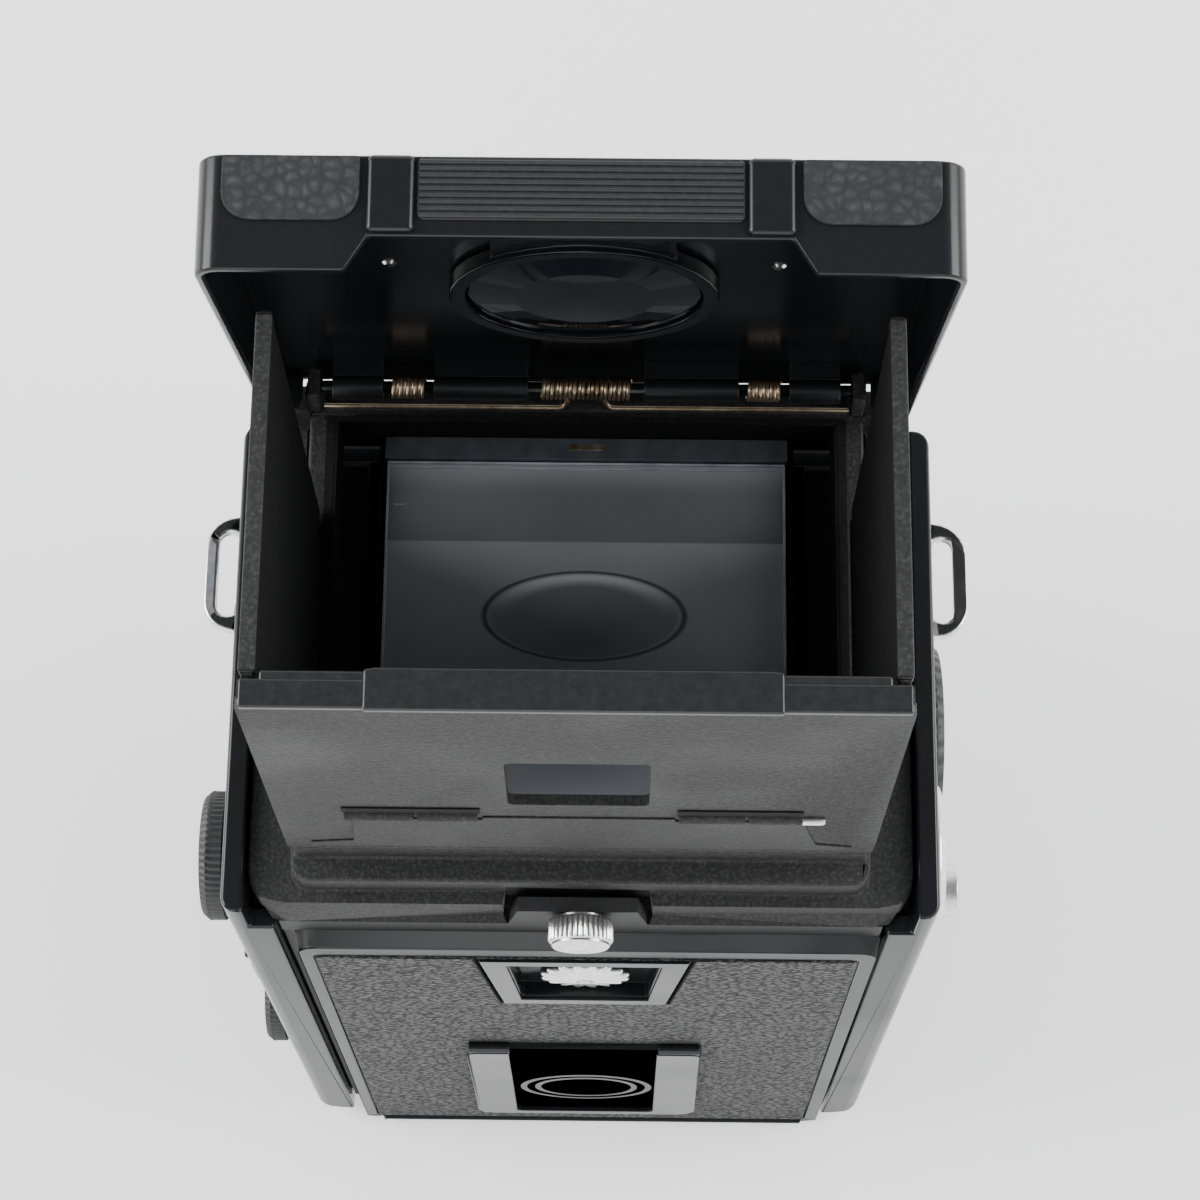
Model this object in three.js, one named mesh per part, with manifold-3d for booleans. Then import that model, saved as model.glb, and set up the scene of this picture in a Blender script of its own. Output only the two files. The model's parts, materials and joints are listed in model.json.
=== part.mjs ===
// Twin lens reflex camera with a bellows front and a waist-level hood that stands open.
// Millimetres, +Z up. The origin is the centre of the base's underside, the lenses face -Y,
// and +X is the side at the left hand of whoever looks down into the hood from behind.
import * as THREE from "three";
import { mergeVertices } from "three/addons/utils/BufferGeometryUtils.js";
import Module from "manifold-3d";

const wasm = await Module();
wasm.setup();

// ---------------------------------------------------------------- driving dimensions
const HALF_WIDTH = 48; // over the side covers
const REAR = 35; // rear edge of the side covers; the front edge is at -REAR
const RIM = 152; // top of the side covers
const COVER = 3; // side cover's wall
const FLANGE = 41.6; // where a side cover's rear and front flanges end
const DECK = 144; // floor of the viewing well
const FIT = 0.3; // clearance between neighbouring pieces
const DOOR_TOP = 137;
const DOOR_FACE = 36.5; // outer face of the film door
const FILM_PLANE = 27.2;
const TAKING_AXIS = 66; // height of the taking lens
const VIEWING_AXIS = 116; // height of the viewing lens
const SPOOL_Y = 17; // both spools' axis, from the middle of the body
const UPPER_SPOOL = 111.5;
const LOWER_SPOOL = 20;
const SPOOL_FLANGE = 12.4;
const FOCUS_Y = -26; // focusing shaft
const FOCUS_Z = 30;
const FOCUS_KNOB = 17; // radius
const RELEASE_X = -28; // shutter release button
const RELEASE_Z = 10;
const KNOB_END = 61; // outer end of the focusing knobs
const PINION = 7; // pitch radius: travel of the front per radian of the knobs
const LEDGE = 150.2; // hood base round its plinth
const PLINTH = 155;
const PLINTH_HALF = 38.5;
const WELL_HALF = 35; // inside of the viewing well
const WALL_TOP = 222; // hood walls, open
const LID_AXIS_Y = -37.4; // lid hinge
const LID_AXIS_Z = 160;
const LID_LEAN = 5.2; // degrees the open lid leans back from upright
const LID_LENGTH = 72.6; // from the hinge to the lid's top
const LID_HALF = 44.7;
const LID_WALL = 1.2;

// ---------------------------------------------------------------- shapes
const rad = (deg) => (deg * Math.PI) / 180;

function solid(geometry) {
  const bare = geometry.index ? geometry.toNonIndexed() : geometry.clone();
  bare.deleteAttribute("normal");
  bare.deleteAttribute("uv");
  const merged = mergeVertices(bare, 1e-4);
  return new wasm.Manifold(
    new wasm.Mesh({
      numProp: 3,
      vertProperties: merged.attributes.position.array,
      triVerts: new Uint32Array(merged.index.array),
    }),
  );
}

function geometryOf(made) {
  const { vertProperties, triVerts, numProp } = made.getMesh();
  const count = vertProperties.length / numProp;
  const position = new Float32Array(count * 3);
  for (let i = 0; i < count; i++)
    position.set(vertProperties.subarray(i * numProp, i * numProp + 3), i * 3);
  const geometry = new THREE.BufferGeometry();
  geometry.setAttribute("position", new THREE.BufferAttribute(position, 3));
  return geometry.setIndex(new THREE.BufferAttribute(triVerts, 1));
}

// The same piece on the other side of the middle plane.
const mirrored = (made) => solid(flipped(geometryOf(made).scale(-1, 1, 1)));

const join = (first, ...others) => others.reduce((sum, piece) => sum.add(piece), first);
const cut = (first, ...others) => others.reduce((left, piece) => left.subtract(piece), first);

function box(x0, x1, y0, y1, z0, z1) {
  const geometry = new THREE.BoxGeometry(x1 - x0, y1 - y0, z1 - z0);
  return solid(geometry.translate((x0 + x1) / 2, (y0 + y1) / 2, (z0 + z1) / 2));
}

// Extrudes a shape along one axis. Shapes are drawn in (x, y), (y, z) or (x, z).
function along(axis, shape, low, high, curveSegments = 2) {
  const options = { depth: high - low, bevelEnabled: false, curveSegments };
  const geometry = new THREE.ExtrudeGeometry(shape, options);
  const turn = new THREE.Matrix4();
  if (axis === "x") turn.set(0, 0, 1, low, 1, 0, 0, 0, 0, 1, 0, 0, 0, 0, 0, 1);
  if (axis === "y") turn.set(1, 0, 0, 0, 0, 0, -1, high, 0, 1, 0, 0, 0, 0, 0, 1);
  if (axis === "z") turn.makeTranslation(0, 0, low);
  return solid(geometry.applyMatrix4(turn));
}

function outline(points) {
  return new THREE.Shape(points.map(([a, b]) => new THREE.Vector2(a, b)));
}

function roundedRect(x0, x1, y0, y1, radii) {
  const [r00, r10, r11, r01] = Array.isArray(radii) ? radii : Array(4).fill(radii);
  const shape = new THREE.Shape();
  shape.moveTo(x0 + r00, y0);
  shape.lineTo(x1 - r10, y0);
  if (r10) shape.absarc(x1 - r10, y0 + r10, r10, -Math.PI / 2, 0);
  shape.lineTo(x1, y1 - r11);
  if (r11) shape.absarc(x1 - r11, y1 - r11, r11, 0, Math.PI / 2);
  shape.lineTo(x0 + r01, y1);
  if (r01) shape.absarc(x0 + r01, y1 - r01, r01, Math.PI / 2, Math.PI);
  shape.lineTo(x0, y0 + r00);
  if (r00) shape.absarc(x0 + r00, y0 + r00, r00, Math.PI, 1.5 * Math.PI);
  return shape;
}

// A turned piece about an axis through (a, b): profile points are [radius, distance along the axis].
function turned(axis, a, b, profile, segments = 24) {
  const points = profile.map(([r, t]) => new THREE.Vector2(r, t));
  const geometry = new THREE.LatheGeometry(points, segments);
  if (axis === "x") geometry.rotateZ(-Math.PI / 2).translate(0, a, b);
  if (axis === "y") geometry.translate(a, 0, b);
  if (axis === "z") geometry.rotateX(Math.PI / 2).translate(a, b, 0);
  const made = solid(geometry);
  return made.volume() < 0 ? solid(flipped(geometry)) : made;
}

function flipped(geometry) {
  const index = geometry.index.array;
  for (let i = 0; i < index.length; i += 3) [index[i], index[i + 1]] = [index[i + 1], index[i]];
  return geometry;
}

function rod(axis, a, b, radius, low, high, segments = 16) {
  return turned(axis, a, b, [[0, low], [radius, low], [radius, high], [0, high]], segments);
}

function ring(axis, a, b, inner, outer, low, high, segments = 24) {
  const profile = [[inner, low], [outer, low], [outer, high], [inner, high], [inner, low]];
  return turned(axis, a, b, profile, segments);
}

// ---------------------------------------------------------------- finishes
const finish = (color, roughness, metalness) =>
  new THREE.MeshStandardMaterial({ color, roughness, metalness });
const GLOSS_BLACK = finish(0x17181b, 0.25, 0.2);
const WRINKLE_BLACK = finish(0x2b2c2d, 0.85, 0.1);
const LEATHER = finish(0x2a2b2c, 0.8, 0);
const BLACK_PLASTIC = finish(0x1a1a1c, 0.6, 0);
const MATT_BLACK = finish(0x101011, 0.95, 0);
const CHROME = finish(0xd4d4d2, 0.2, 1);
const BRONZE = finish(0xa78358, 0.35, 1);
const CASTING = finish(0x3a3b3d, 0.7, 0.6);
const GLASS = finish(0x8f9aa5, 0.08, 0);
const MIRROR = finish(0xdfe3e6, 0.03, 1);

const camera = new THREE.Group();

function place(name, made, material, parent = camera) {
  const geometry = geometryOf(made);
  geometry.computeVertexNormals();
  const mesh = new THREE.Mesh(geometry, material);
  mesh.name = name;
  parent.add(mesh);
}

// ---------------------------------------------------------------- body
const MIRROR_HALF = 31;
const GATE_HALF = 28;
const CHAMBER_HALF = 34; // a spool's length fits between these
const CHAMBER_RADIUS = 13.2;
const POCKET_BACK = -23; // back of the pocket that holds the folded bellows
const MIRROR_Y = -5; // mirror's middle, under the middle of the screen
const ROLLER_RADIUS = 1.9;
const ROLLER_Y = 25.2;
const ROLLERS = [
  ["film_roller_upper", UPPER_SPOOL - 12.6],
  ["film_roller_lower", LOWER_SPOOL + 12.6],
];

function bodyShell() {
  const core = box(-44.7, 44.7, -31.9, 31.9, 3.9, DECK);
  const middle = box(-41.3, 41.3, -33.2, 33, 3.9, 142.7);
  const rearBand = box(-41, 41, 32, 34, DOOR_TOP + 0.4, 142.7);
  const screwTab = along("y", outline([[-9.2, 142], [9.9, 142], [8.4, 149.6], [-7.7, 149.6]]), 32, 34);
  const seat = MIRROR_Y - VIEWING_AXIS + 3.3; // y - z on the mirror's seat
  const mirrorBox = along(
    "x",
    outline([
      [POCKET_BACK - 0.5, POCKET_BACK - 0.5 - seat],
      [23, 23 - seat],
      [23, DECK + 1],
      [POCKET_BACK - 0.5, DECK + 1],
    ]),
    -MIRROR_HALF,
    MIRROR_HALF,
  );
  const frontLip = box(-MIRROR_HALF, MIRROR_HALF, -33, POCKET_BACK, 141, DECK + 1);
  const pocket = box(-36, 36, -34, POCKET_BACK, 38, 141);
  const tunnel = box(-GATE_HALF, GATE_HALF, POCKET_BACK - 1, 30, TAKING_AXIS - 27, TAKING_AXIS + 25);
  const chambers = [UPPER_SPOOL, LOWER_SPOOL].flatMap((z) => [
    rod("x", SPOOL_Y, z, CHAMBER_RADIUS, -CHAMBER_HALF, CHAMBER_HALF, 24),
    box(-CHAMBER_HALF, CHAMBER_HALF, SPOOL_Y, 34, z - CHAMBER_RADIUS, z + CHAMBER_RADIUS),
    rod("x", SPOOL_Y, z, 5, -50, 50, 16),
  ]);
  const recess = box(-36.5, 36.5, 26, 34, LOWER_SPOOL - CHAMBER_RADIUS, UPPER_SPOOL + CHAMBER_RADIUS);
  const sidePockets = [-1, 1].flatMap((side) => {
    const [near, far] = side > 0 ? [38.5, 46] : [-46, -38.5];
    const [rackLow, rackHigh] = side > 0 ? [37.7, 41.5] : [-41.5, -37.7];
    return [
      box(near, far, -14, 29, 44, 92),
      box(near, far, -14, 5, 8, 26),
      box(rackLow, rackHigh, -36, 24, FOCUS_Z + PINION - 0.3, 43),
      rod("x", FOCUS_Y, FOCUS_Z, PINION + 0.6, rackLow, rackHigh, 24),
    ];
  });
  const rollerGrooves = ROLLERS.map(([, z]) => rod("x", ROLLER_Y, z, ROLLER_RADIUS + 0.5, -34, 34, 16));
  const shaftBore = rod("x", FOCUS_Y, FOCUS_Z, 3.6, -50, 50, 16);
  const releaseBore = rod("y", RELEASE_X, RELEASE_Z, 3.4, -40, -26, 16);
  const topCorners = [-1, 1].map((side) =>
    side > 0 ? box(43.4, 46, -36, 36, 141.8, 146) : box(-46, -43.4, -36, 36, 141.8, 146),
  );
  return cut(
    join(core, middle, rearBand, screwTab),
    mirrorBox,
    frontLip,
    pocket,
    tunnel,
    recess,
    shaftBore,
    releaseBore,
    ...rollerGrooves,
    ...chambers,
    ...sidePockets,
    ...topCorners,
  );
}
place("body_shell", bodyShell(), CASTING);

// A side cover is a shallow tray that wraps the rear and front corners.
function sideCover(side) {
  const profile = roundedRect(-HALF_WIDTH, HALF_WIDTH, 1, RIM, [6, 6, 0.6, 0.6]);
  const plan = roundedRect(-HALF_WIDTH, HALF_WIDTH, -REAR, REAR, 2.2);
  const whole = along("y", profile, -REAR, REAR).intersect(along("z", plan, 0, RIM + 1));
  const wall = HALF_WIDTH - COVER;
  const half = box(FLANGE, 50, -40, 40, 0, RIM + 1);
  const inside = box(0, wall, -REAR + COVER, REAR - COVER, 0, RIM + 1);
  const top = box(0, wall, -40, 40, 142.6, RIM + 1);
  const bores = [
    rod("x", FOCUS_Y, FOCUS_Z, 4, 40, 50, 16),
    rod("x", SPOOL_Y, UPPER_SPOOL, 5.4, 40, 50, 16),
    ...(side > 0 ? [rod("x", SPOOL_Y, LOWER_SPOOL, 5.4, 40, 50, 16), box(44, 50, 24.6, 29.4, 83, 99)] : []),
  ];
  const left = cut(whole.intersect(half), inside, top, ...bores);
  return side > 0 ? left : mirrored(left);
}
place("left_side_cover", sideCover(1), GLOSS_BLACK);
place("right_side_cover", sideCover(-1), GLOSS_BLACK);

const FRONT_OPENING = 34.5;
place(
  "front_plate",
  cut(
    along("y", roundedRect(-41.3, 41.3, 4, 142.5, 1), -REAR, -REAR + 1.6),
    box(-FRONT_OPENING, FRONT_OPENING, -40, -30, 37, 142),
    box(37.7, 42, -40, -30, FOCUS_Z + PINION - 0.3, 43),
    box(-42, -37.7, -40, -30, FOCUS_Z + PINION - 0.3, 43),
    rod("y", RELEASE_X, RELEASE_Z, 3.4, -40, -30, 16),
  ),
  GLOSS_BLACK,
);

const SOCKET_Y = -12;
place(
  "base_plate",
  cut(
    along("z", roundedRect(-41, 41, -33.5, 32.5, 4), 0, 3.6),
    rod("z", 0, SOCKET_Y, 9.3, -1, 5, 32),
  ),
  GLOSS_BLACK,
);
place("tripod_socket", ring("z", 0, SOCKET_Y, 3.2, 9, 0, 3.4, 32), CHROME);
for (const [side, name] of [[1, "left"], [-1, "right"]]) {
  const loop = along("z", roundedRect(47, 53.8, -24.6, -7.4, [0, 4.5, 4.5, 0]), 141, 142.8, 3);
  const slot = along("z", roundedRect(48.7, 51.9, -22.2, -9.8, 1.55), 140, 144, 2);
  const foot = box(HALF_WIDTH + 0.02, 48.9, -23.5, -8.5, 136, 141.5);
  const lug = cut(join(loop, foot), slot).intersect(box(HALF_WIDTH + 0.02, 60, -30, 0, 130, 150));
  place(`strap_lug_${name}`, side > 0 ? lug : mirrored(lug), CHROME);
}

// ---------------------------------------------------------------- film path
place(
  "film_gate",
  cut(
    box(-33, 33, 26, FILM_PLANE, TAKING_AXIS - 30.5, TAKING_AXIS + 30.5),
    box(-GATE_HALF, GATE_HALF, 20, 30, TAKING_AXIS - 28, TAKING_AXIS + 28),
  ),
  CHROME,
);
for (const [name, z] of ROLLERS)
  place(name, rod("x", ROLLER_Y, z, ROLLER_RADIUS, -33.4, 33.4, 16), CHROME);
const CORE = 6;
place(
  "take_up_spool",
  cut(
    join(
      rod("x", SPOOL_Y, UPPER_SPOOL, CORE, -32, 32, 24),
      rod("x", SPOOL_Y, UPPER_SPOOL, SPOOL_FLANGE, -32.6, -31.4, 32),
      rod("x", SPOOL_Y, UPPER_SPOOL, SPOOL_FLANGE, 31.4, 32.6, 32),
    ),
    rod("x", SPOOL_Y, UPPER_SPOOL, 3.2, -40, 40, 16),
    box(-20, 20, SPOOL_Y - 0.8, SPOOL_Y + 0.8, UPPER_SPOOL, UPPER_SPOOL + 10),
  ),
  BLACK_PLASTIC,
);

// Winding crank on the right-hand side: shaft, disc and folding handle.
const CRANK_DISC = 12;
const DISC_FACE = -52.2;
const HANDLE_FACE = -52.9;
const HANDLE_BACK = -51.6;
place(
  "winding_shaft",
  join(
    rod("x", SPOOL_Y, UPPER_SPOOL, 2.8, -48.6, -27, 16),
    rod("x", SPOOL_Y, UPPER_SPOOL, 4.6, -48.6, -35, 16),
  ),
  CHROME,
);
place(
  "crank_disc",
  cut(
    turned("x", SPOOL_Y, UPPER_SPOOL, [[0, DISC_FACE], [CRANK_DISC - 1, DISC_FACE],
      [CRANK_DISC, DISC_FACE + 1], [CRANK_DISC, -48.6], [0, -48.6]], 32),
    box(-60, HANDLE_BACK + 0.6, SPOOL_Y - 3.4, SPOOL_Y + 3.4, UPPER_SPOOL - 20, UPPER_SPOOL + 4.6),
  ),
  CHROME,
);
place(
  "crank_handle",
  join(
    box(HANDLE_FACE, HANDLE_BACK, SPOOL_Y - 3, SPOOL_Y + 3, UPPER_SPOOL - 20, UPPER_SPOOL + 3),
    rod("x", SPOOL_Y, UPPER_SPOOL - 17.5, 4, -56.5, HANDLE_FACE, 20),
  ),
  CHROME,
);

// Two spring-loaded knobs on the left-hand side carry the spools' ends.
function spoolKnob(z) {
  const knob = turned("x", SPOOL_Y, z, [[0, 48.6], [9.1, 48.6], [9.6, 49.2], [9.6, 54.6], [8.6, 55.8],
    [6.4, 55.8], [6, 55.2], [0, 55.2]], 28);
  return join(knob, rod("x", SPOOL_Y, z, 4.6, 35, 49, 20), rod("x", SPOOL_Y, z, 2.8, 31, 36, 16));
}
place("upper_spool_knob", spoolKnob(UPPER_SPOOL), BLACK_PLASTIC);
place("lower_spool_knob", spoolKnob(LOWER_SPOOL), BLACK_PLASTIC);

// ---------------------------------------------------------------- film door
const WINDOW_TOP = 128.5;
const WINDOW_BOTTOM = 106.5;
const DIAL_Z = 115;
const windowShape = (grow) =>
  outline([
    [-9.4 - grow, WINDOW_BOTTOM - grow],
    [8.7 + grow, WINDOW_BOTTOM - grow],
    [10.2 + grow * 1.4, WINDOW_TOP + grow],
    [-11.1 - grow * 1.4, WINDOW_TOP + grow],
  ]);
place(
  "back_door",
  cut(
    join(
      along("y", roundedRect(-41.1, 39.3, 1.6, DOOR_TOP, [1, 1, 3, 3]), 33.4, DOOR_FACE - 0.6),
      cut(
        along("y", roundedRect(-41.1, 39.3, 1.6, DOOR_TOP, [1, 1, 3, 3]), DOOR_FACE - 0.6, DOOR_FACE),
        along("y", roundedRect(-38.5, 37.1, 4, 132.6, 1), 30, 40),
      ),
      along("y", windowShape(3.2), DOOR_FACE - 1, DOOR_FACE),
      rod("x", 35.6, 2.1, 1.5, -38, 36, 12),
    ),
    along("y", windowShape(0), 34, 40),
    rod("y", -0.45, DIAL_Z, 1.3, 30, 40, 12),
  ),
  GLOSS_BLACK,
);
const leatherEdge = cut(
  along("y", roundedRect(-38.3, 36.9, 4.2, 132.4, 1), DOOR_FACE - 0.6, DOOR_FACE + 0.1),
  along("y", windowShape(3.5), 30, 40),
);
place("door_leather", leatherEdge, LEATHER);
const dialPoints = Array.from({ length: 32 }, (_, i) => {
  const r = i % 2 ? 5.5 : 6.6;
  const angle = (i * Math.PI) / 16;
  return [-0.45 + r * Math.cos(angle), DIAL_Z + r * Math.sin(angle)];
});
place(
  "film_dial",
  join(along("y", outline(dialPoints), 34.3, 35.9), rod("y", -0.45, DIAL_Z, 1, 33.4, 35, 12)),
  CHROME,
);
const CLIP_FACE = 38.6;
const clipFrame = cut(
  along("y", roundedRect(-18.3, 18.2, 18.5, 72.5, [3, 3, 1.5, 1.5]), DOOR_FACE + 0.1, CLIP_FACE),
  box(-16.9, 16.8, 30, CLIP_FACE - 0.9, 20, 80),
  along("y", roundedRect(-11.4, 11.8, 21.2, 80, [1, 1, 0, 0]), 30, 45),
);
const clipOutline = roundedRect(-18.3, 18.2, 18.5, 72.5, [3, 3, 1.5, 1.5]);
const clipPlate = along("y", clipOutline, DOOR_FACE + 0.1, DOOR_FACE + 0.5);
place("memo_clip", join(clipFrame, clipPlate), GLOSS_BLACK);
place(
  "rear_disc",
  turned("y", -0.1, 39.5, [[0, DOOR_FACE + 0.5], [11.2, DOOR_FACE + 0.5], [11.2, DOOR_FACE + 0.9],
    [10.4, DOOR_FACE + 1.2], [8.6, DOOR_FACE + 1.2], [8.2, DOOR_FACE + 0.8], [0, DOOR_FACE + 0.8]], 28),
  BLACK_PLASTIC,
);
place(
  "pressure_plate",
  cut(
    along("y", roundedRect(-30, 30, TAKING_AXIS - 29, TAKING_AXIS + 29, 3), 27.6, 29.4),
    box(-20, 20, 28.9, 30, TAKING_AXIS - 2, TAKING_AXIS + 2),
  ),
  MATT_BLACK,
);
for (const [name, rise] of [["plate_spring_upper", 16], ["plate_spring_lower", -16]]) {
  const z = TAKING_AXIS + rise;
  const leaf = outline([[-16, 33.4], [-16, 32.9], [-1.5, 30.4], [1.5, 30.4], [16, 32.9], [16, 33.4],
    [1.5, 30.9], [-1.5, 30.9]]);
  place(name, along("z", leaf, z - 3, z + 3), BRONZE);
}
place(
  "back_latch",
  join(box(48.3, 50, 24, 30, 86, 96), box(45, 48.4, 25, 29, 88, 94), box(49.9, 51.2, 25.4, 28.6, 94, 95.8)),
  GLOSS_BLACK,
);

// ---------------------------------------------------------------- mirror, screen
const mirrorPlate = new THREE.BoxGeometry(58, 62, 1.6).translate(0, 1.5, -0.9).rotateX(rad(45));
place("mirror", solid(mirrorPlate.translate(0, MIRROR_Y, VIEWING_AXIS)), MIRROR);
place(
  "screen_frame",
  cut(
    box(-29.2, 29.2, -33.8, 23.8, DECK, DECK + 4.2),
    box(-26.5, 26.5, -30, 21.5, DECK - 1, DECK + 6),
    box(-28.1, 28.1, -31, 22.4, DECK + 2.2, DECK + 6),
  ),
  MATT_BLACK,
);
place("focusing_screen", box(-27.9, 27.9, -30.8, 22.2, DECK + 2.4, DECK + 4.4), GLASS);

// ---------------------------------------------------------------- hood base and its screw
function hoodBase() {
  const plan = roundedRect(-44.7, 44.7, -36, 33.7, [1.5, 1.5, 5, 5]);
  const skirt = along("z", plan, DECK + FIT, LEDGE);
  const rearSkirt = along("z", plan, 143.1, DECK + 2).intersect(box(-50, 50, 32.4, 40, 140, 150));
  const plinthOutline = roundedRect(-PLINTH_HALF, PLINTH_HALF, -36, 31.4, [1, 1, 2.5, 2.5]);
  const plinth = along("z", plinthOutline, LEDGE - 1, PLINTH);
  const hingeBar = box(-WELL_HALF - 3.5, WELL_HALF + 3.5, -39.6, -35.4, LEDGE, 156.6);
  const rearSill = box(-37.8, 37.8, 26.6, 28, LEDGE, 158.7);
  const brackets = [-1, 1].map((side) =>
    side > 0
      ? box(36.6, PLINTH_HALF, -39.6, -35.2, 156, 161.6)
      : box(-PLINTH_HALF, -36.6, -39.6, -35.2, 156, 161.6),
  );
  const rearSlope = along("y", outline([[-10, 140], [10.7, 140], [9.9, 152], [-9.2, 152]]), 30.6, 40);
  return cut(
    join(skirt, rearSkirt, plinth, rearSill, hingeBar, ...brackets),
    box(-WELL_HALF, WELL_HALF, -34.8, 24.4, 140, 160),
    rod("x", LID_AXIS_Y, LID_AXIS_Z, 1.15, -50, 50, 16),
    rearSlope,
  );
}
place("hood_base", hoodBase(), WRINKLE_BLACK);
place(
  "hood_screw",
  turned("y", -0.1, 148, [[0, 34.3], [3, 34.3], [3, 34.8], [4.35, 34.8], [4.35, 38], [3.7, 38.5],
    [2.9, 38.5], [2.6, 38.1], [0, 38.1]], 24),
  CHROME,
);
place("lid_hinge_rod", rod("x", LID_AXIS_Y, LID_AXIS_Z, 0.85, -38.4, 38.4, 12), GLOSS_BLACK);
for (const [name, low, high] of [
  ["lid_spring_left", 22, 27],
  ["lid_spring_middle", -6.4, 6.4],
  ["lid_spring_right", -27, -22],
])
  place(name, ring("x", LID_AXIS_Y, LID_AXIS_Z, 1.1, 1.8, low, high, 16), BRONZE);

// ---------------------------------------------------------------- hood walls
const SIDE_WALL_REAR = 24.4;
const SIDE_WALL_FRONT = -20.9;
function sideWall(bottom, side) {
  const panel = along("x", roundedRect(SIDE_WALL_FRONT, SIDE_WALL_REAR, bottom, WALL_TOP, 0.8), 36.5, 37.9);
  const topBead = box(36.2, 38.2, SIDE_WALL_FRONT + 0.6, SIDE_WALL_REAR - 0.6, WALL_TOP - 1.6, WALL_TOP);
  const knuckle = rod("y", 37.2, bottom + 0.6, 1, SIDE_WALL_FRONT + 2, SIDE_WALL_REAR - 2, 12);
  const wall = join(panel, topBead, knuckle);
  return side > 0 ? wall : mirrored(wall);
}
place("left_hood_wall", sideWall(155.6, 1), WRINKLE_BLACK);
place("right_hood_wall", sideWall(157.6, -1), WRINKLE_BLACK);
place(
  "rear_hood_wall",
  cut(
    join(
      along("y", roundedRect(-38.4, 38.4, 159.4, WALL_TOP, 1), 26.6, 28),
      box(-38.2, 38.2, 24.8, 27, WALL_TOP - 1.2, WALL_TOP),
      rod("x", 27.2, 160, 1, -34, 34, 12),
    ),
    along("y", roundedRect(-8.8, 8.8, 181.5, 200, 1), 20, 32),
  ),
  WRINKLE_BLACK,
);
// ---------------------------------------------------------------- lid, built upright about its hinge
const lidGroup = new THREE.Group();
lidGroup.position.set(0, LID_AXIS_Y, LID_AXIS_Z);
lidGroup.rotation.x = rad(-LID_LEAN);
camera.add(lidGroup);
const LID_OUT = -4.8; // outer face, in front of the hinge
const LID_IN = LID_OUT + LID_WALL;
const LUG_DEPTH = 9.4;
const MIDDLE_DEPTH = 5.2;
const LENS_Z = 33.5; // middle of the magnifier, from the lid hinge
const PIN_Z = 56;
const FOLDED_FACE = LID_IN + 0.3; // magnifier's face towards the lid
const PIN_DEPTH = FOLDED_FACE + 1.2;

function lidShell() {
  const face = along("y", roundedRect(-LID_HALF, LID_HALF, -3, LID_LENGTH, [3, 3, 3, 3]), LID_OUT, LID_IN);
  const sideProfile = outline([[LID_OUT, -3], [2.5, -1], [LUG_DEPTH, LID_LENGTH - 3],
    [LUG_DEPTH, LID_LENGTH], [LID_OUT, LID_LENGTH]]);
  const envelope = along("x", sideProfile, -LID_HALF, LID_HALF).intersect(
    along("y", roundedRect(-LID_HALF, LID_HALF, -3, LID_LENGTH, [3, 3, 3, 3]), -10, 20),
  );
  const inside = along(
    "y",
    roundedRect(-LID_HALF + LID_WALL, LID_HALF - LID_WALL, -10, LID_LENGTH - LID_WALL, [0, 0, 2, 2]),
    LID_IN,
    20,
  );
  const middleGap = along("z", outline([[-27.2, LUG_DEPTH + 1], [-24.6, MIDDLE_DEPTH], [24.6, MIDDLE_DEPTH],
    [27.2, LUG_DEPTH + 1]]), LID_LENGTH - 4, LID_LENGTH + 1);
  const rails = [-22, 22].map((x) =>
    box(x - 2.9, x + 2.9, LID_OUT, MIDDLE_DEPTH - 0.4, LID_LENGTH - 0.3, LID_LENGTH + 0.9));
  const knuckles = [[8, 21], [28, 35], [-21, -8], [-35, -28]].map(([low, high]) =>
    cut(
      join(rod("x", 0, 0, 2, low, high, 16), box(low, high, LID_IN - 0.2, 0, -1, 1.6)),
      rod("x", 0, 0, 1.15, low - 1, high + 1, 16),
    ),
  );
  const pinBrackets = [[11.9, 13.7], [-13.7, -11.9]].map(([low, high]) =>
    cut(
      box(low, high, LID_IN - 0.1, FOLDED_FACE + 2.5, PIN_Z - 1.8, PIN_Z + 1.8),
      rod("x", PIN_DEPTH, PIN_Z, 1, low - 1, high + 1, 12),
    ),
  );
  return join(cut(envelope, inside, middleGap), face, ...rails, ...knuckles, ...pinBrackets);
}
place("lid", lidShell(), GLOSS_BLACK, lidGroup);
const ribs = Array.from({ length: 8 }, (_, i) => LID_OUT + 0.9 + i * 1.1).map((y) =>
  box(-18.8, 18.8, y, y + 0.6, LID_LENGTH, LID_LENGTH + 0.55));
place(
  "lid_rib_strip",
  join(box(-18.9, 18.9, LID_OUT + 0.5, MIDDLE_DEPTH - 0.7, LID_LENGTH, LID_LENGTH + 0.3), ...ribs),
  BLACK_PLASTIC,
  lidGroup,
);

// Magnifier: a ring with a neck that swings down from a pin near the lid's top.
place(
  "magnifier_frame",
  cut(
    join(
      rod("y", 0, LENS_Z, 17.3, FOLDED_FACE, FOLDED_FACE + 2.2, 32),
      box(-11.5, 11.5, FOLDED_FACE, FOLDED_FACE + 1.2, LENS_Z, PIN_Z),
      rod("x", PIN_DEPTH, PIN_Z, 0.7, -13.4, 13.4, 12),
    ),
    rod("y", 0, LENS_Z, 15.2, -20, 20, 32),
  ),
  BLACK_PLASTIC,
  lidGroup,
);
place(
  "magnifier_lens",
  turned("y", 0, LENS_Z, [[0, FOLDED_FACE + 0.1], [14.9, FOLDED_FACE + 0.9], [14.9, FOLDED_FACE + 1.5],
    [9, FOLDED_FACE + 2.1], [0, FOLDED_FACE + 2.3]], 24),
  GLASS,
  lidGroup,
);
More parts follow.
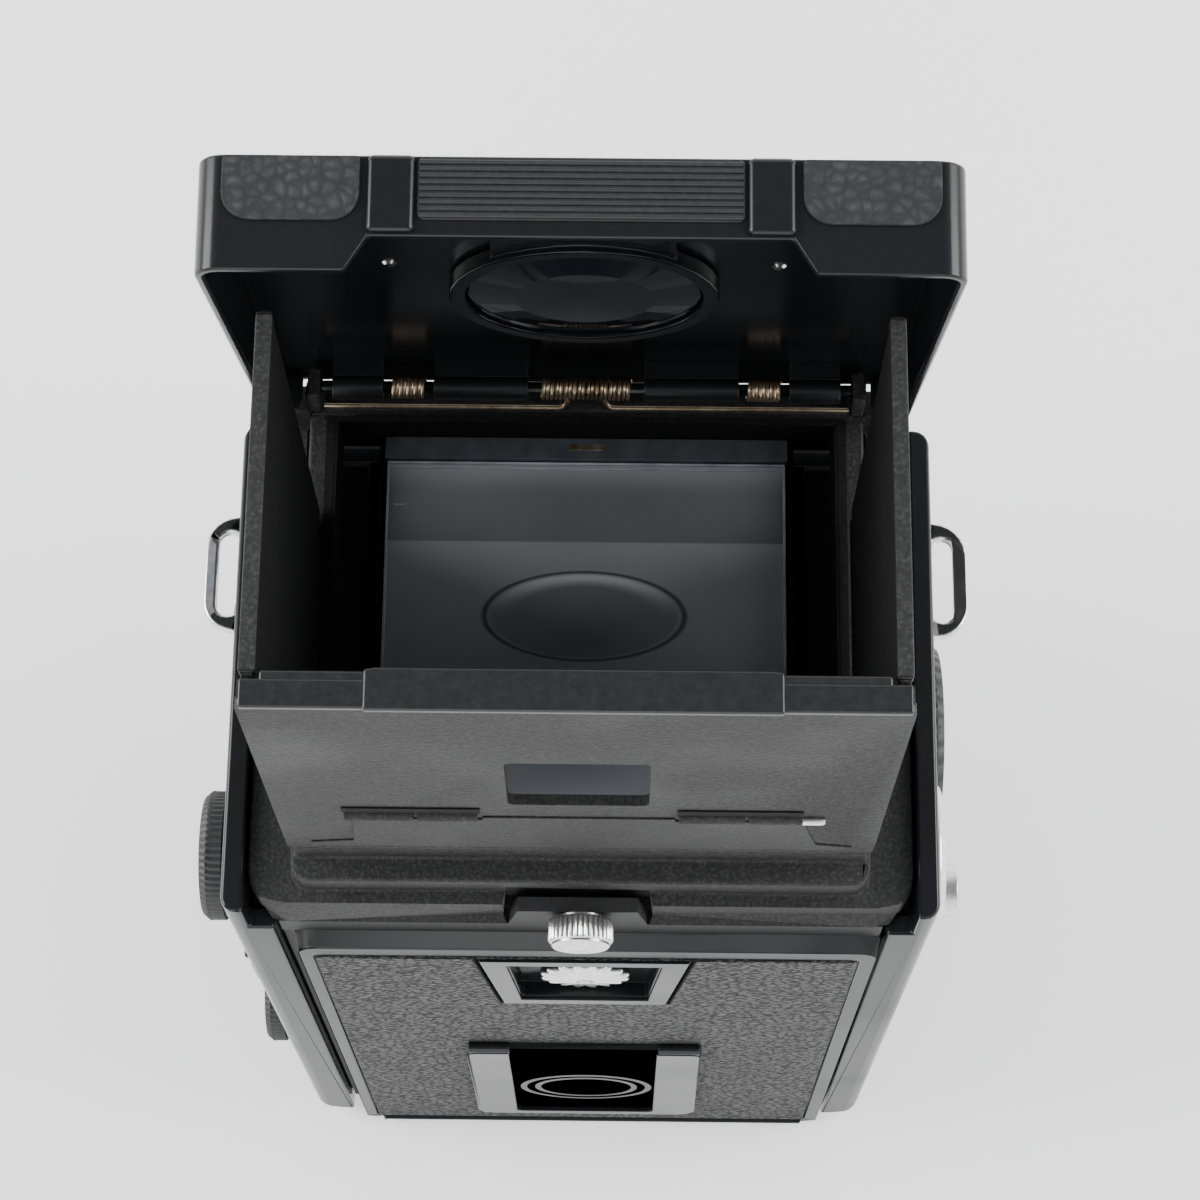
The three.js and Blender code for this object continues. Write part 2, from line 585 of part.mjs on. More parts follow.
// ---------------------------------------------------------------- focusing front
const STANDARD_BACK = -35.4;
const STANDARD_FACE = -40.4;
const BOARD_FACE = -43.4;
const RACK_IN = 38.1; // racks lie just outside the standard and run back into the body
const RACK_OUT = 41.2;
place(
  "bellows",
  cut(
    join(
      ...[0, 1, 2].map((i) => {
        const low = POCKET_BACK - 3.7 - i * 3.9;
        return join(
          along("y", roundedRect(-34, 34, 40, 139, 2), low, low + 2),
          along("y", roundedRect(-32.4, 32.4, 41.6, 137.4, 2), low - 1.9, low + 3.6),
        );
      }),
    ),
    box(-30, 30, -50, -10, 44, 135),
  ),
  MATT_BLACK,
);
place(
  "front_standard",
  cut(
    along("y", roundedRect(-38, 38, 16, 141, 3), STANDARD_FACE, STANDARD_BACK),
    box(-33, 33, -36.6, -30, 39, 140),
    box(-27, 27, -50, -30, 44, 136),
  ),
  GLOSS_BLACK,
);
for (const [side, name] of [[1, "left"], [-1, "right"]]) {
  const teeth = Array.from({ length: 16 }, (_, i) =>
    box(RACK_IN, RACK_OUT, -33 + i * 3.3, -31.4 + i * 3.3, FOCUS_Z + PINION + 0.2, FOCUS_Z + PINION + 1.2),
  );
  const bar = box(RACK_IN, RACK_OUT, STANDARD_FACE, 21, FOCUS_Z + PINION + 1.1, 42.4);
  const rack = join(bar, ...teeth);
  place(`rack_${name}`, side > 0 ? rack : mirrored(rack), CHROME);
}
place(
  "lens_board",
  cut(
    along("y", roundedRect(-34, 34, 34, 140, 4), BOARD_FACE, STANDARD_FACE),
    rod("y", 0, TAKING_AXIS, 17, -50, -30, 32),
    rod("y", 0, VIEWING_AXIS, 17, -50, -30, 32),
  ),
  GLOSS_BLACK,
);
const VIEW_BARREL = 21;
place(
  "viewing_barrel",
  turned("y", 0, VIEWING_AXIS, [[15, BOARD_FACE], [VIEW_BARREL, BOARD_FACE], [VIEW_BARREL, -56],
    [VIEW_BARREL + 0.8, -57], [VIEW_BARREL + 0.8, -65], [19.6, -66], [19.2, -63], [16.2, -61],
    [15, -61], [15, BOARD_FACE]], 32),
  GLOSS_BLACK,
);
place(
  "viewing_glass",
  turned("y", 0, VIEWING_AXIS, [[0, -52], [14.8, -52], [14.8, -58], [8, -59.4], [0, -60]], 32),
  GLASS,
);
place("shutter_housing", ring("y", 0, TAKING_AXIS, 15, 26.5, -55, BOARD_FACE, 32), GLOSS_BLACK);
place("speed_ring", ring("y", 0, TAKING_AXIS, 20.3, 27.6, -59.8, -55.3, 32), CHROME);
place(
  "taking_barrel",
  turned("y", 0, TAKING_AXIS, [[15, -55.2], [20, -55.2], [20, -63], [22, -64], [22, -74], [21, -75],
    [20.2, -72], [15.4, -66.5], [15, -66.5], [15, -55.2]], 32),
  GLOSS_BLACK,
);
place(
  "taking_glass",
  turned("y", 0, TAKING_AXIS, [[0, -56.5], [14.8, -56.5], [14.8, -62], [8, -64.4], [0, -65.4]], 32),
  GLASS,
);
// Small levers round the shutter: each is a tab on its own thin ring sector.
function shutterLever(angle, reach, y0, y1) {
  const arm = box(26.8, reach, y0, y1, -1.6, 1.6);
  const grip = rod("y", reach, 0, 2.2, y0 - 1.6, y1, 12);
  return solid(geometryOf(join(arm, grip)).rotateY(rad(-angle)).translate(0, 0, TAKING_AXIS));
}
place("aperture_lever", shutterLever(200, 31.5, -53, -51.8), CHROME);
place("cocking_lever", shutterLever(145, 33, -50.6, -49.4), CHROME);
place("shutter_lever", shutterLever(-30, 32.5, -48.4, -47.2), CHROME);

// ---------------------------------------------------------------- focusing drive and release
place(
  "focus_shaft",
  join(
    rod("x", FOCUS_Y, FOCUS_Z, 3.2, -49, 49, 16),
    rod("x", FOCUS_Y, FOCUS_Z, PINION - 0.1, RACK_IN, RACK_OUT, 24),
    rod("x", FOCUS_Y, FOCUS_Z, PINION - 0.1, -RACK_OUT, -RACK_IN, 24),
  ),
  CHROME,
);
for (const [side, name] of [[1, "left"], [-1, "right"]]) {
  const profile = [[3.3, 48.6], [FOCUS_KNOB - 0.8, 48.6], [FOCUS_KNOB, 49.4], [FOCUS_KNOB, KNOB_END - 1],
    [FOCUS_KNOB - 1, KNOB_END], [12, KNOB_END], [11, KNOB_END - 1], [0, KNOB_END - 1], [0, 49.4], [3.3, 49.4],
    [3.3, 48.6]];
  const knob = turned("x", FOCUS_Y, FOCUS_Z, profile, 32);
  place(`focus_knob_${name}`, side > 0 ? knob : mirrored(knob), BLACK_PLASTIC);
}
place(
  "release_button",
  join(
    rod("y", RELEASE_X, RELEASE_Z, 3, -39.6, -31, 16),
    rod("y", RELEASE_X, RELEASE_Z, 4.4, -40.6, -38.6, 20),
  ),
  CHROME,
);

export default camera;
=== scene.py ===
import json
import math

import bmesh
import bpy
from mathutils import Matrix, Vector

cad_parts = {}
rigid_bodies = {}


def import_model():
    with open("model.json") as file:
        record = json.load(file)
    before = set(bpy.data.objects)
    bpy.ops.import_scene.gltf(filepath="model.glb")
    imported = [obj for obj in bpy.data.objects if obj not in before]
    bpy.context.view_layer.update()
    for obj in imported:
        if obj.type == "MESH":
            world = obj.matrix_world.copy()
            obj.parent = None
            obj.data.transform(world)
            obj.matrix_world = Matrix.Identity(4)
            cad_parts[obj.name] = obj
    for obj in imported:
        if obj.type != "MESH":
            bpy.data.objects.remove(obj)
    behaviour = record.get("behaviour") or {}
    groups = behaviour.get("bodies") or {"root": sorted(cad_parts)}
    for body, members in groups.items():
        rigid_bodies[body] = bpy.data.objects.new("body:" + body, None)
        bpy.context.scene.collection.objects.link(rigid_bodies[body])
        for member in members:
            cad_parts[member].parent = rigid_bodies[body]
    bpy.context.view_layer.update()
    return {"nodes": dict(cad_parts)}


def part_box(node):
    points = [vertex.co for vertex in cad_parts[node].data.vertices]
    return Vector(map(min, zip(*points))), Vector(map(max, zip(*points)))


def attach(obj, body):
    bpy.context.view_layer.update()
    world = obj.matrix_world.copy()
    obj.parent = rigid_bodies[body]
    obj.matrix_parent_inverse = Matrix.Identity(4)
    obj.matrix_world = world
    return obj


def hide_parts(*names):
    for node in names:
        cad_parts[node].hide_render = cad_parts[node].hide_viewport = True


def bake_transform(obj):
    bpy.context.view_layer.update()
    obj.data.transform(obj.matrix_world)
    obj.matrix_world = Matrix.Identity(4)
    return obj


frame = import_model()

MM = 0.001

# ------------------------------------------------------------------ camera, floor and light
# The view is from behind and steeply down into the open hood. The camera stands on a plain white
# table, in a room whose walls are brighter than its ceiling, between three soft panels.
LENS = 92.8
SENSOR = 36
VIEWPOINT = Vector((-4.76, 130.05, 553.9)) * MM
LOOK_DOWN = math.radians(70.87)
LOOK_ASIDE = math.radians(1.06)
ROLL = math.radians(-0.44)

camera = bpy.data.objects.new("camera", bpy.data.cameras.new("camera"))
bpy.context.scene.collection.objects.link(camera)
bpy.context.scene.camera = camera
camera.data.lens = LENS
camera.data.sensor_width = SENSOR
camera.data.clip_start = 0.01
camera.data.clip_end = 20
forward = Vector((
    math.sin(LOOK_ASIDE) * math.cos(LOOK_DOWN),
    -math.cos(LOOK_ASIDE) * math.cos(LOOK_DOWN),
    -math.sin(LOOK_DOWN),
))
level = Vector((-math.cos(LOOK_ASIDE), -math.sin(LOOK_ASIDE), 0))
upward = level.cross(forward)
right = math.cos(ROLL) * level + math.sin(ROLL) * upward
top = math.cos(ROLL) * upward - math.sin(ROLL) * level
camera.matrix_world = Matrix.LocRotScale(
    VIEWPOINT, Matrix((right, top, -forward)).transposed().to_quaternion(), None
)


class Value:
    """One output socket. Arithmetic on it adds Math nodes to its tree."""

    def __init__(self, tree, socket):
        self.tree, self.socket = tree, socket

    def math(self, operation, *values):
        return self.tree.node("ShaderNodeMath", {"operation": operation}, dict(enumerate(values)))

    def __add__(self, other):
        return self.math("ADD", self, other)

    def __sub__(self, other):
        return self.math("SUBTRACT", self, other)

    def __rsub__(self, other):
        return self.math("SUBTRACT", other, self)

    def __mul__(self, other):
        return self.math("MULTIPLY", self, other)

    __radd__, __rmul__ = __add__, __mul__

    def __truediv__(self, other):
        return self.math("DIVIDE", self, other)

    def between(self, low, high):
        """0 below low, 1 above high, smooth in between."""
        settings = {"interpolation_type": "SMOOTHSTEP"}
        return self.tree.node("ShaderNodeMapRange", settings, {0: self, 1: low, 2: high})


class Tree:
    """A node tree, to which node() adds one node and gives back one of its outputs."""

    def __init__(self, tree):
        self.tree = tree

    def node(self, kind, settings, inputs, output=0):
        node = self.tree.nodes.new(kind)
        for name, value in settings.items():
            if name == "stops":
                self.set_stops(node.color_ramp, value)
            else:
                setattr(node, name, value)
        for key, value in inputs.items():
            self.feed(node.inputs[key], value)
        return Value(self, node.outputs[output]) if node.outputs else node

    def feed(self, socket, value):
        if isinstance(value, Value):
            self.tree.links.new(value.socket, socket)
        else:
            socket.default_value = value

    def set_stops(self, ramp, stops):
        while len(ramp.elements) < len(stops):
            ramp.elements.new(1)
        for element, (position, colour) in zip(ramp.elements, stops):
            element.position = position
            element.color = (*colour, 1)


class Finish(Tree):
    """A procedural material: a Principled shader with constants on its sockets, and what varies it."""

    def __init__(self, name, **constants):
        self.material = bpy.data.materials.new(name)
        self.material.use_nodes = True
        super().__init__(self.material.node_tree)
        self.shader = self.tree.nodes["Principled BSDF"]
        for socket, value in constants.items():
            self.shader.inputs[socket.replace("_", " ")].default_value = value
        self.place = self.node("ShaderNodeTexCoord", {}, {}, "Object")

    def stretched(self, x, y, z):
        return self.node("ShaderNodeMapping", {}, {"Vector": self.place, "Scale": (x, y, z)})

    def drifting(self, amount, scale, place):
        """The place, nudged about by a noise, so that cells get crooked sides."""
        nudge = self.node("ShaderNodeTexNoise", {}, {"Vector": self.place, "Scale": scale}, "Color")
        return self.node("ShaderNodeMix", {"data_type": "VECTOR"}, {0: amount, 4: place, 5: nudge}, 1)

    def noise(self, size, detail=2, roughness=0.5, place=None):
        inputs = {
            "Vector": place or self.place,
            "Scale": 1 / size,
            "Detail": detail,
            "Roughness": roughness,
        }
        return self.node("ShaderNodeTexNoise", {}, inputs)

    def cells(self, size, feature="F1", place=None, randomness=1):
        inputs = {"Vector": place or self.place, "Scale": 1 / size, "Randomness": randomness}
        return self.node("ShaderNodeTexVoronoi", {"feature": feature}, inputs, "Distance")

    def colour(self, factor, *stops):
        self.feed(
            self.shader.inputs["Base Color"],
            self.node("ShaderNodeValToRGB", {"stops": stops}, {0: factor}),
        )

    def rough(self, value):
        self.feed(self.shader.inputs["Roughness"], value)

    def relief(self, height, depth, strength=1):
        inputs = {"Height": height, "Distance": depth, "Strength": strength}
        self.feed(self.shader.inputs["Normal"], self.node("ShaderNodeBump", {}, inputs))


WHITE = (1, 1, 1, 1)
table_top = Finish("table_top", Specular_IOR_Level=0.2, Emission_Color=WHITE, Emission_Strength=0.58)
table_top.colour(table_top.noise(0.4), (0.3, (0.86, 0.86, 0.86)), (0.7, (0.9, 0.9, 0.9)))
table_top.rough(0.8)
TABLE_REACH = 6
table_corners = [(TABLE_REACH * x, TABLE_REACH * y, 0) for x, y in ((-1, -1), (1, -1), (1, 1), (-1, 1))]
table_mesh = bpy.data.meshes.new("table")
table_mesh.from_pydata(table_corners, [], [(0, 1, 2, 3)])
table_mesh.materials.append(table_top.material)
table = bpy.data.objects.new("table", table_mesh)
bpy.context.scene.collection.objects.link(table)

world = bpy.data.worlds.new("room")
world.use_nodes = True
bpy.context.scene.world = world
room = Tree(world.node_tree)
direction = room.node("ShaderNodeTexCoord", {}, {}, "Generated")
rise = room.node("ShaderNodeSeparateXYZ", {}, {0: direction}, 2)
WALLS, HIGH, OVERHEAD = (1.9, 1.9, 1.87), (1.0, 1.02, 1.05), (0.3, 0.32, 0.35)
ROOM_SHADES = [(0.0, WALLS), (0.4, WALLS), (0.7, HIGH), (0.92, OVERHEAD)]
shade = room.node("ShaderNodeValToRGB", {"stops": ROOM_SHADES}, {0: rise})
room.feed(world.node_tree.nodes["Background"].inputs[0], shade)
PANEL_SIZE = 1.0
LIT_POINT = Vector((0, 0, 0.12))
for name, place, power in [
    ("panel_left", (1.5, -0.1, 1.0), 36),
    ("panel_right", (-1.5, -0.1, 1.0), 30),
    ("panel_behind", (0.3, 1.9, 1.1), 6),
]:
    panel = bpy.data.objects.new(name, bpy.data.lights.new(name, "AREA"))
    panel.data.size = PANEL_SIZE
    panel.data.energy = power
    panel.location = place
    panel.rotation_euler = (LIT_POINT - Vector(place)).to_track_quat("-Z", "Y").to_euler()
    bpy.context.scene.collection.objects.link(panel)

# ------------------------------------------------------------------ casting and film path
# The die-cast body holds the film chambers, the mirror and the light tunnel. It's blackened,
# and carries a bright film gate, rollers and racks.


def dark_casting():
    finish = Finish("dark_casting", Metallic=0.3)
    grain = finish.noise(0.0006, 4, 0.7)
    finish.colour(grain, (0.3, (0.008, 0.008, 0.009)), (0.8, (0.02, 0.02, 0.021)))
    finish.rough(grain * 0.2 + 0.55)
    finish.relief(grain, 0.00006, 0.6)
    return finish.material


def matt_paint():
    finish = Finish("matt_paint", Specular_IOR_Level=0.12)
    dust = finish.noise(0.0009, 6, 0.8)
    clean, dull, speck = (0.006, 0.006, 0.006), (0.012, 0.012, 0.012), (0.07, 0.065, 0.055)
    finish.colour(dust, (0.45, clean), (0.66, dull), (0.74, speck))
    finish.rough(0.75)
    finish.relief(dust, 0.00003, 0.5)
    return finish.material


def satin_chrome():
    finish = Finish("satin_chrome", Metallic=1)
    brushed = finish.noise(0.002, 5, 0.8)
    finish.colour(brushed, (0.35, (0.62, 0.62, 0.61)), (0.7, (0.82, 0.82, 0.81)))
    finish.rough(brushed * 0.16 + 0.16)
    finish.relief(finish.noise(0.0004, 2), 0.00001, 0.4)
    return finish.material


def spring_bronze():
    finish = Finish("spring_bronze", Metallic=1)
    tarnish = finish.noise(0.003, 4, 0.7)
    finish.colour(tarnish, (0.35, (0.34, 0.24, 0.15)), (0.65, (0.62, 0.5, 0.36)))
    finish.rough(tarnish * 0.25 + 0.22)
    return finish.material


def black_moulding():
    finish = Finish("black_moulding")
    mottle = finish.noise(0.0007, 3, 0.6)
    finish.colour(mottle, (0.3, (0.011, 0.011, 0.012)), (0.7, (0.02, 0.02, 0.021)))
    finish.rough(mottle * 0.2 + 0.38)
    finish.relief(mottle, 0.00003, 0.5)
    return finish.material


def silvered_mirror():
    finish = Finish("silvered_mirror", Metallic=1)
    haze = finish.noise(0.01, 4)
    finish.colour(haze, (0.3, (0.78, 0.8, 0.81)), (0.7, (0.86, 0.88, 0.88)))
    finish.rough(haze * 0.05 + 0.02)
    return finish.material


CASTING, MATT, CHROME = dark_casting(), matt_paint(), satin_chrome()
BRONZE, MOULDING, MIRROR = spring_bronze(), black_moulding(), silvered_mirror()


def dress(material, *names):
    """Gives a material to CAD nodes that stay as they are."""
    for name in names:
        mesh = frame["nodes"][name].data
        mesh.materials.clear()
        mesh.materials.append(material)


dress(CASTING, "body_shell")
dress(CHROME, "film_gate", "film_roller_upper", "film_roller_lower", "winding_shaft", "tripod_socket")
dress(CHROME, "focus_shaft", "rack_left", "rack_right")
dress(MATT, "pressure_plate")
dress(BRONZE, "plate_spring_upper", "plate_spring_lower")
dress(MOULDING, "take_up_spool")
dress(MIRROR, "mirror")

# ------------------------------------------------------------------ covers
# Pressed steel side covers, front and base plates in gloss black stove enamel. Their folded
# edges are softly rounded and a little worn.


def enamel(name, gloss):
    finish = Finish(name, Specular_IOR_Level=gloss)
    peel = finish.noise(0.004, 2)
    dust = finish.noise(0.0011, 7, 0.85)
    clean, dull, speck = (0.0085, 0.009, 0.0105), (0.011, 0.0115, 0.013), (0.06, 0.06, 0.06)
    finish.colour(dust, (0.5, clean), (0.68, dull), (0.8, speck))
    smear = finish.noise(0.03, 3).between(0.35, 0.75)
    finish.rough(smear * 0.1 + dust * 0.05 + 0.13)
    finish.relief(peel + dust * 0.15, 0.00002, 0.35)
    return finish.material


ENAMEL = enamel("gloss_enamel", 0.3)
SOFT = enamel("soft_enamel", 0.1)
# A near-glossless copy of the enamel for faces that look back: painted shade that takes away their reflection.
SHADED_BACK_ENAMEL = enamel("shaded_back_enamel", 0.03)


def piece_from(name, bm, material, edge=0.0, segments=3, angle=32):
    """A finished piece at the origin. Its sharp edges are rounded to the given radius."""
    mesh = bpy.data.meshes.new(name)
    bm.to_mesh(mesh)
    bm.free()
    mesh.materials.append(material)
    mesh.shade_smooth()
    mesh.set_sharp_from_angle(angle=math.radians(angle))
    piece = bpy.data.objects.new(name, mesh)
    bpy.context.scene.collection.objects.link(piece)
    if edge:
        rounding = piece.modifiers.new("rounding", "BEVEL")
        rounding.width = edge
        rounding.segments = segments
        rounding.limit_method = "ANGLE"
        rounding.angle_limit = math.radians(angle)
        rounding.use_clamp_overlap = False
        rounding.harden_normals = True
    return piece


def joined_flats(bm):
    """Joins coplanar triangles into larger faces, and keeps the cuts that a hole needs."""
    straight = 0.99999
    bm.normal_update()
    for edge in list(bm.edges):
        if not edge.is_valid or len(edge.link_faces) != 2:
            continue
        first, second = edge.link_faces
        shared = set(first.edges) & set(second.edges)
        corners = set(first.verts) & set(second.verts)
        if first.normal.dot(second.normal) > straight and len(corners) == len(shared) + 1:
            bmesh.utils.face_join((first, second))
    for vert in list(bm.verts):
        if vert.is_valid and len(vert.link_edges) == 2:
            a, b = (edge.other_vert(vert).co - vert.co for edge in vert.link_edges)
            if a.length and b.length and a.normalized().dot(b.normalized()) < -straight:
                bmesh.utils.vert_dissolve(vert)
    bm.normal_update()
    return bm


def merged(node):
    """A CAD node's mesh, with its loose triangles joined."""
    bm = bmesh.new()
    bm.from_mesh(frame["nodes"][node].data)
    bmesh.ops.remove_doubles(bm, verts=bm.verts, dist=2e-6)
    return joined_flats(bm)


def faced(piece, material, test):
    """Gives a second material to the faces whose centre (mm) and normal pass the test."""
    piece.data.materials.append(material)
    for face in piece.data.polygons:
        if test(face.center / MM, face.normal):
            face.material_index = 1
    return piece


def fit(piece, body, slot, *nodes):
    """Fixes a piece to its body, in place of the CAD nodes named."""
    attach(piece, body)
    if nodes:
        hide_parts(*nodes)
    return piece


def finished(node, body, slot, material, edge, segments=3):
    """A CAD node's own shape with its edges rounded by edge mm."""
    piece = piece_from(node + "_finished", merged(node), material, edge * MM, segments)
    return fit(piece, body, slot, node)


def faces_back(centre, normal):
    return normal.y > 0.6


# The side covers' faces that look back get the shaded copy of the enamel, painted shade in place of their
# reflection.
for node in ("left_side_cover", "right_side_cover"):
    faced(finished(node, "root", "gloss_black", ENAMEL, 0.5), SHADED_BACK_ENAMEL, faces_back)
dress(ENAMEL, "front_plate")
finished("base_plate", "root", "gloss_black", ENAMEL, 0.3)

# ------------------------------------------------------------------ film door
# A pressed door hinged along the bottom. Its glossy rim stands round a panel of fine pebbled
# leatherette, stretched sideways, with a bezelled film window near the top.


def along_axis(axis, low):
    """From drawing coordinates (a, b, depth) to the object's frame, starting at low on the axis."""
    if axis == "x":
        return Matrix(((0, 0, 1, low), (1, 0, 0, 0), (0, 1, 0, 0), (0, 0, 0, 1)))
    if axis == "y":
        return Matrix(((1, 0, 0, 0), (0, 0, 1, low), (0, 1, 0, 0), (0, 0, 0, 1)))
    return Matrix.Translation((0, 0, low))


def plate(bm, axis, outlines, low, high):
    """Adds a flat plate to bm: the first outline is its edge, the others are holes. All in mm."""
    made = bmesh.new()
    for outline in outlines:
        ring = [made.verts.new((a, b, 0)) for a, b in outline]
        for start, end in zip(ring, ring[1:] + ring[:1]):
            made.edges.new((start, end))
    bmesh.ops.triangle_fill(made, use_beauty=True, edges=made.edges[:])
    base = joined_flats(made).faces[:]
    grown = bmesh.ops.extrude_face_region(made, geom=base)
    moved = [v for v in grown["geom"] if isinstance(v, bmesh.types.BMVert)]
    bmesh.ops.translate(made, verts=moved, vec=(0, 0, high - low))
    bmesh.ops.transform(made, matrix=Matrix.Scale(MM, 4) @ along_axis(axis, low), verts=made.verts)
    bmesh.ops.recalc_face_normals(made, faces=made.faces)
    add_to(bm, made)


def add_to(bm, made):
    mesh = bpy.data.meshes.new("part")
    made.to_mesh(mesh)
    made.free()
    bm.from_mesh(mesh)
    bpy.data.meshes.remove(mesh)


def rounded(x0, x1, y0, y1, radii, steps=6):
    """A rectangle with rounded corners, anticlockwise from the lower left."""
    radii = radii if isinstance(radii, (list, tuple)) else [radii] * 4
    corners = [(x0, y0, 1, 1), (x1, y0, -1, 1), (x1, y1, -1, -1), (x0, y1, 1, -1)]
    points = []
    for turn, ((x, y, sx, sy), r) in enumerate(zip(corners, radii)):
        if not r:
            points.append((x, y))
            continue
        for i in range(steps + 1):
            angle = math.pi * (1 + turn / 2) + math.pi / 2 * i / steps
            points.append((x + sx * r + r * math.cos(angle), y + sy * r + r * math.sin(angle)))
    return points


def fine_leather():
    finish = Finish("fine_leatherette", Specular_IOR_Level=0.4)
    drift = finish.drifting(0.0006, 500, finish.stretched(0.55, 1, 1.15))
    pebbles = finish.cells(0.0008, "SMOOTH_F1", drift)
    creases = finish.cells(0.0008, "DISTANCE_TO_EDGE", drift)
    height = creases.between(0.0, 0.2) * 0.8 + (1 - pebbles) * 0.3
    # The creases are painted darker as shade, and the pebbles' crests are painted lighter as a highlight.
    shaded_crease, pebble, lit_crest = (0.003, 0.003, 0.0032), (0.014, 0.014, 0.0145), (0.03, 0.03, 0.03)
    finish.colour(height, (0.15, shaded_crease), (0.8, pebble), (1.0, lit_crest))
    finish.rough(1 - height * 0.45)
    finish.relief(height, 0.00028, 0.85)
    return finish.material


LEATHERETTE = fine_leather()
# The door's faces that look back get the shaded copy of the enamel too, as painted shade.
faced(finished("back_door", "door", "gloss_black", ENAMEL, 0.35), SHADED_BACK_ENAMEL, faces_back)

# The film window's corners (x, z), and how each moves when the window grows.
WINDOW = [(-9.4, 106.5), (8.7, 106.5), (10.2, 128.5), (-11.1, 128.5)]
OUTWARD = [(-1, -1), (1, -1), (1.4, 1), (-1.4, 1)]
DOOR_SHEET = 35.9  # the sheet's face, under the leatherette


def grown_window(by):
    return [(x + by * a, z + by * b) for (x, z), (a, b) in zip(WINDOW, OUTWARD)]


bm = bmesh.new()
plate(bm, "y", [rounded(-38.3, 36.9, 4.2, 132.4, 1.2), grown_window(3.5)], DOOR_SHEET, DOOR_SHEET + 0.85)
fit(piece_from("door_leather_pad", bm, LEATHERETTE, 0.3 * MM), "door", "leather", "door_leather")

# The window's bezel is semi-gloss, and the film-type dial behind it is a fluted chrome disc.
bm = bmesh.new()
plate(bm, "y", [grown_window(2.9), grown_window(0.2)], DOOR_SHEET + 0.4, DOOR_SHEET + 1.05)
fit(piece_from("window_bezel", bm, SOFT, 0.25 * MM), "door", "gloss_black")
bm = bmesh.new()
pointer = [(-2.6, 127.4), (1.8, 127.4), (-0.4, 125.9)]
for outline in (pointer, rounded(-7.6, -4.4, 125.6, 127.3, 0.3, 2), rounded(3.6, 6.8, 125.6, 127.3, 0.3, 2)):
    plate(bm, "y", [outline], DOOR_SHEET + 0.05, DOOR_SHEET + 0.25)
fit(piece_from("window_index", bm, CHROME, 0.05 * MM, 1), "door", "chrome")


def lathe(bm, axis, centre, profile, steps=96, radius=None):
    """Turns a profile of (radius, distance along the axis) in mm. radius(r, t, angle) may vary it."""
    made = bmesh.new()
    closed = profile[0] == profile[-1]
    rings = []
    for r, t in profile[:-1] if closed else profile:
        if r == 0:
            rings.append([made.verts.new((0, 0, t))])
            continue
        angles = [2 * math.pi * i / steps for i in range(steps)]
        reach = [radius(r, t, angle) if radius else r for angle in angles]
        ring = [(q * math.cos(a), q * math.sin(a), t) for q, a in zip(reach, angles)]
        rings.append([made.verts.new(point) for point in ring])
    for first, second in zip(rings, rings[1:] + rings[:1] if closed else rings[1:]):
        for i in range(steps):
            j = (i + 1) % steps
            near = [first[i % len(first)], first[j % len(first)]]
            far = [second[j % len(second)], second[i % len(second)]]
            made.faces.new(list(dict.fromkeys(near + far)))
    bmesh.ops.recalc_face_normals(made, faces=made.faces)
    a, b = centre
    offset = {"x": (0, a, b), "y": (a, 0, b), "z": (a, b, 0)}[axis]
    matrix = Matrix.Scale(MM, 4) @ Matrix.Translation(offset) @ along_axis(axis, 0)
    bmesh.ops.transform(made, matrix=matrix, verts=made.verts)
    if matrix.determinant() < 0:
        bmesh.ops.reverse_faces(made, faces=made.faces)
    add_to(bm, made)


FLUTES, FLUTE_DEPTH, DIAL_RADIUS = 16, 1.5, 6.6


def fluted(r, t, angle):
    return r - FLUTE_DEPTH * r / DIAL_RADIUS * (0.5 + 0.5 * math.cos(FLUTES * angle))


bm = bmesh.new()
dial_profile = [(0, 34.3), (6.3, 34.3), (DIAL_RADIUS, 34.6), (DIAL_RADIUS, 35.2), (6.1, 35.6), (1.6, 36.05),
                (1.3, 35.7), (0, 35.7)]
lathe(bm, "y", (-0.45, 115), dial_profile, 128, fluted)
fit(piece_from("fluted_dial", bm, CHROME, angle=50), "dial", "chrome", "film_dial")

# The memo holder is a clip of folded, enamelled sheet with rolled top ends. A plain black disc
# sits inside it.
finished("memo_clip", "door", "gloss_black", SOFT, 0.25)
bm = bmesh.new()
for x in (-14.9, 14.9):
    lathe(bm, "x", (37.5, 72.3), [(0, x - 3.2), (0.95, x - 3.2), (0.95, x + 3.2), (0, x + 3.2)], 24)
fit(piece_from("clip_rolls", bm, ENAMEL, 0.15 * MM), "door", "gloss_black")
bm = bmesh.new()
disc_profile = [(0, 37), (11.2, 37), (11.2, 37.4), (10.9, 37.7), (9.9, 37.75), (9.6, 37.45), (8.8, 37.45),
                (8.5, 37.7), (7.6, 37.75), (6.9, 37.4), (0, 37.4)]
lathe(bm, "y", (-0.1, 39.5), disc_profile, 96)
fit(piece_from("turned_disc", bm, MOULDING), "door", "black_plastic", "rear_disc")

# ------------------------------------------------------------------ hood base
# A casting in black wrinkle paint: a flat skirt over the body, a raised plinth and the sills that
# the walls are hinged to.


def wrinkle_paint():
    finish = Finish("wrinkle_paint", Specular_IOR_Level=0.35)
    ridges = finish.noise(0.00042, 3, 0.6)
    knots = finish.cells(0.0005, "SMOOTH_F1")
    height = ridges * 0.7 + (1 - knots) * 0.5
    # The valleys are painted darker as shade, and the crests are painted lighter as a highlight.
    shaded_valley, slope, lit_crest = (0.006, 0.006, 0.0062), (0.013, 0.013, 0.0132), (0.034, 0.034, 0.034)
    finish.colour(height, (0.35, shaded_valley), (0.62, slope), (0.9, lit_crest))
    worn = finish.noise(0.02, 4).between(0.4, 0.8)
    finish.rough(0.72 - worn * 0.14)
    finish.relief(height, 0.00016, 0.8)
    return finish.material


WRINKLE = wrinkle_paint()
finished("hood_base", "root", "wrinkle_black", WRINKLE, 0.45)

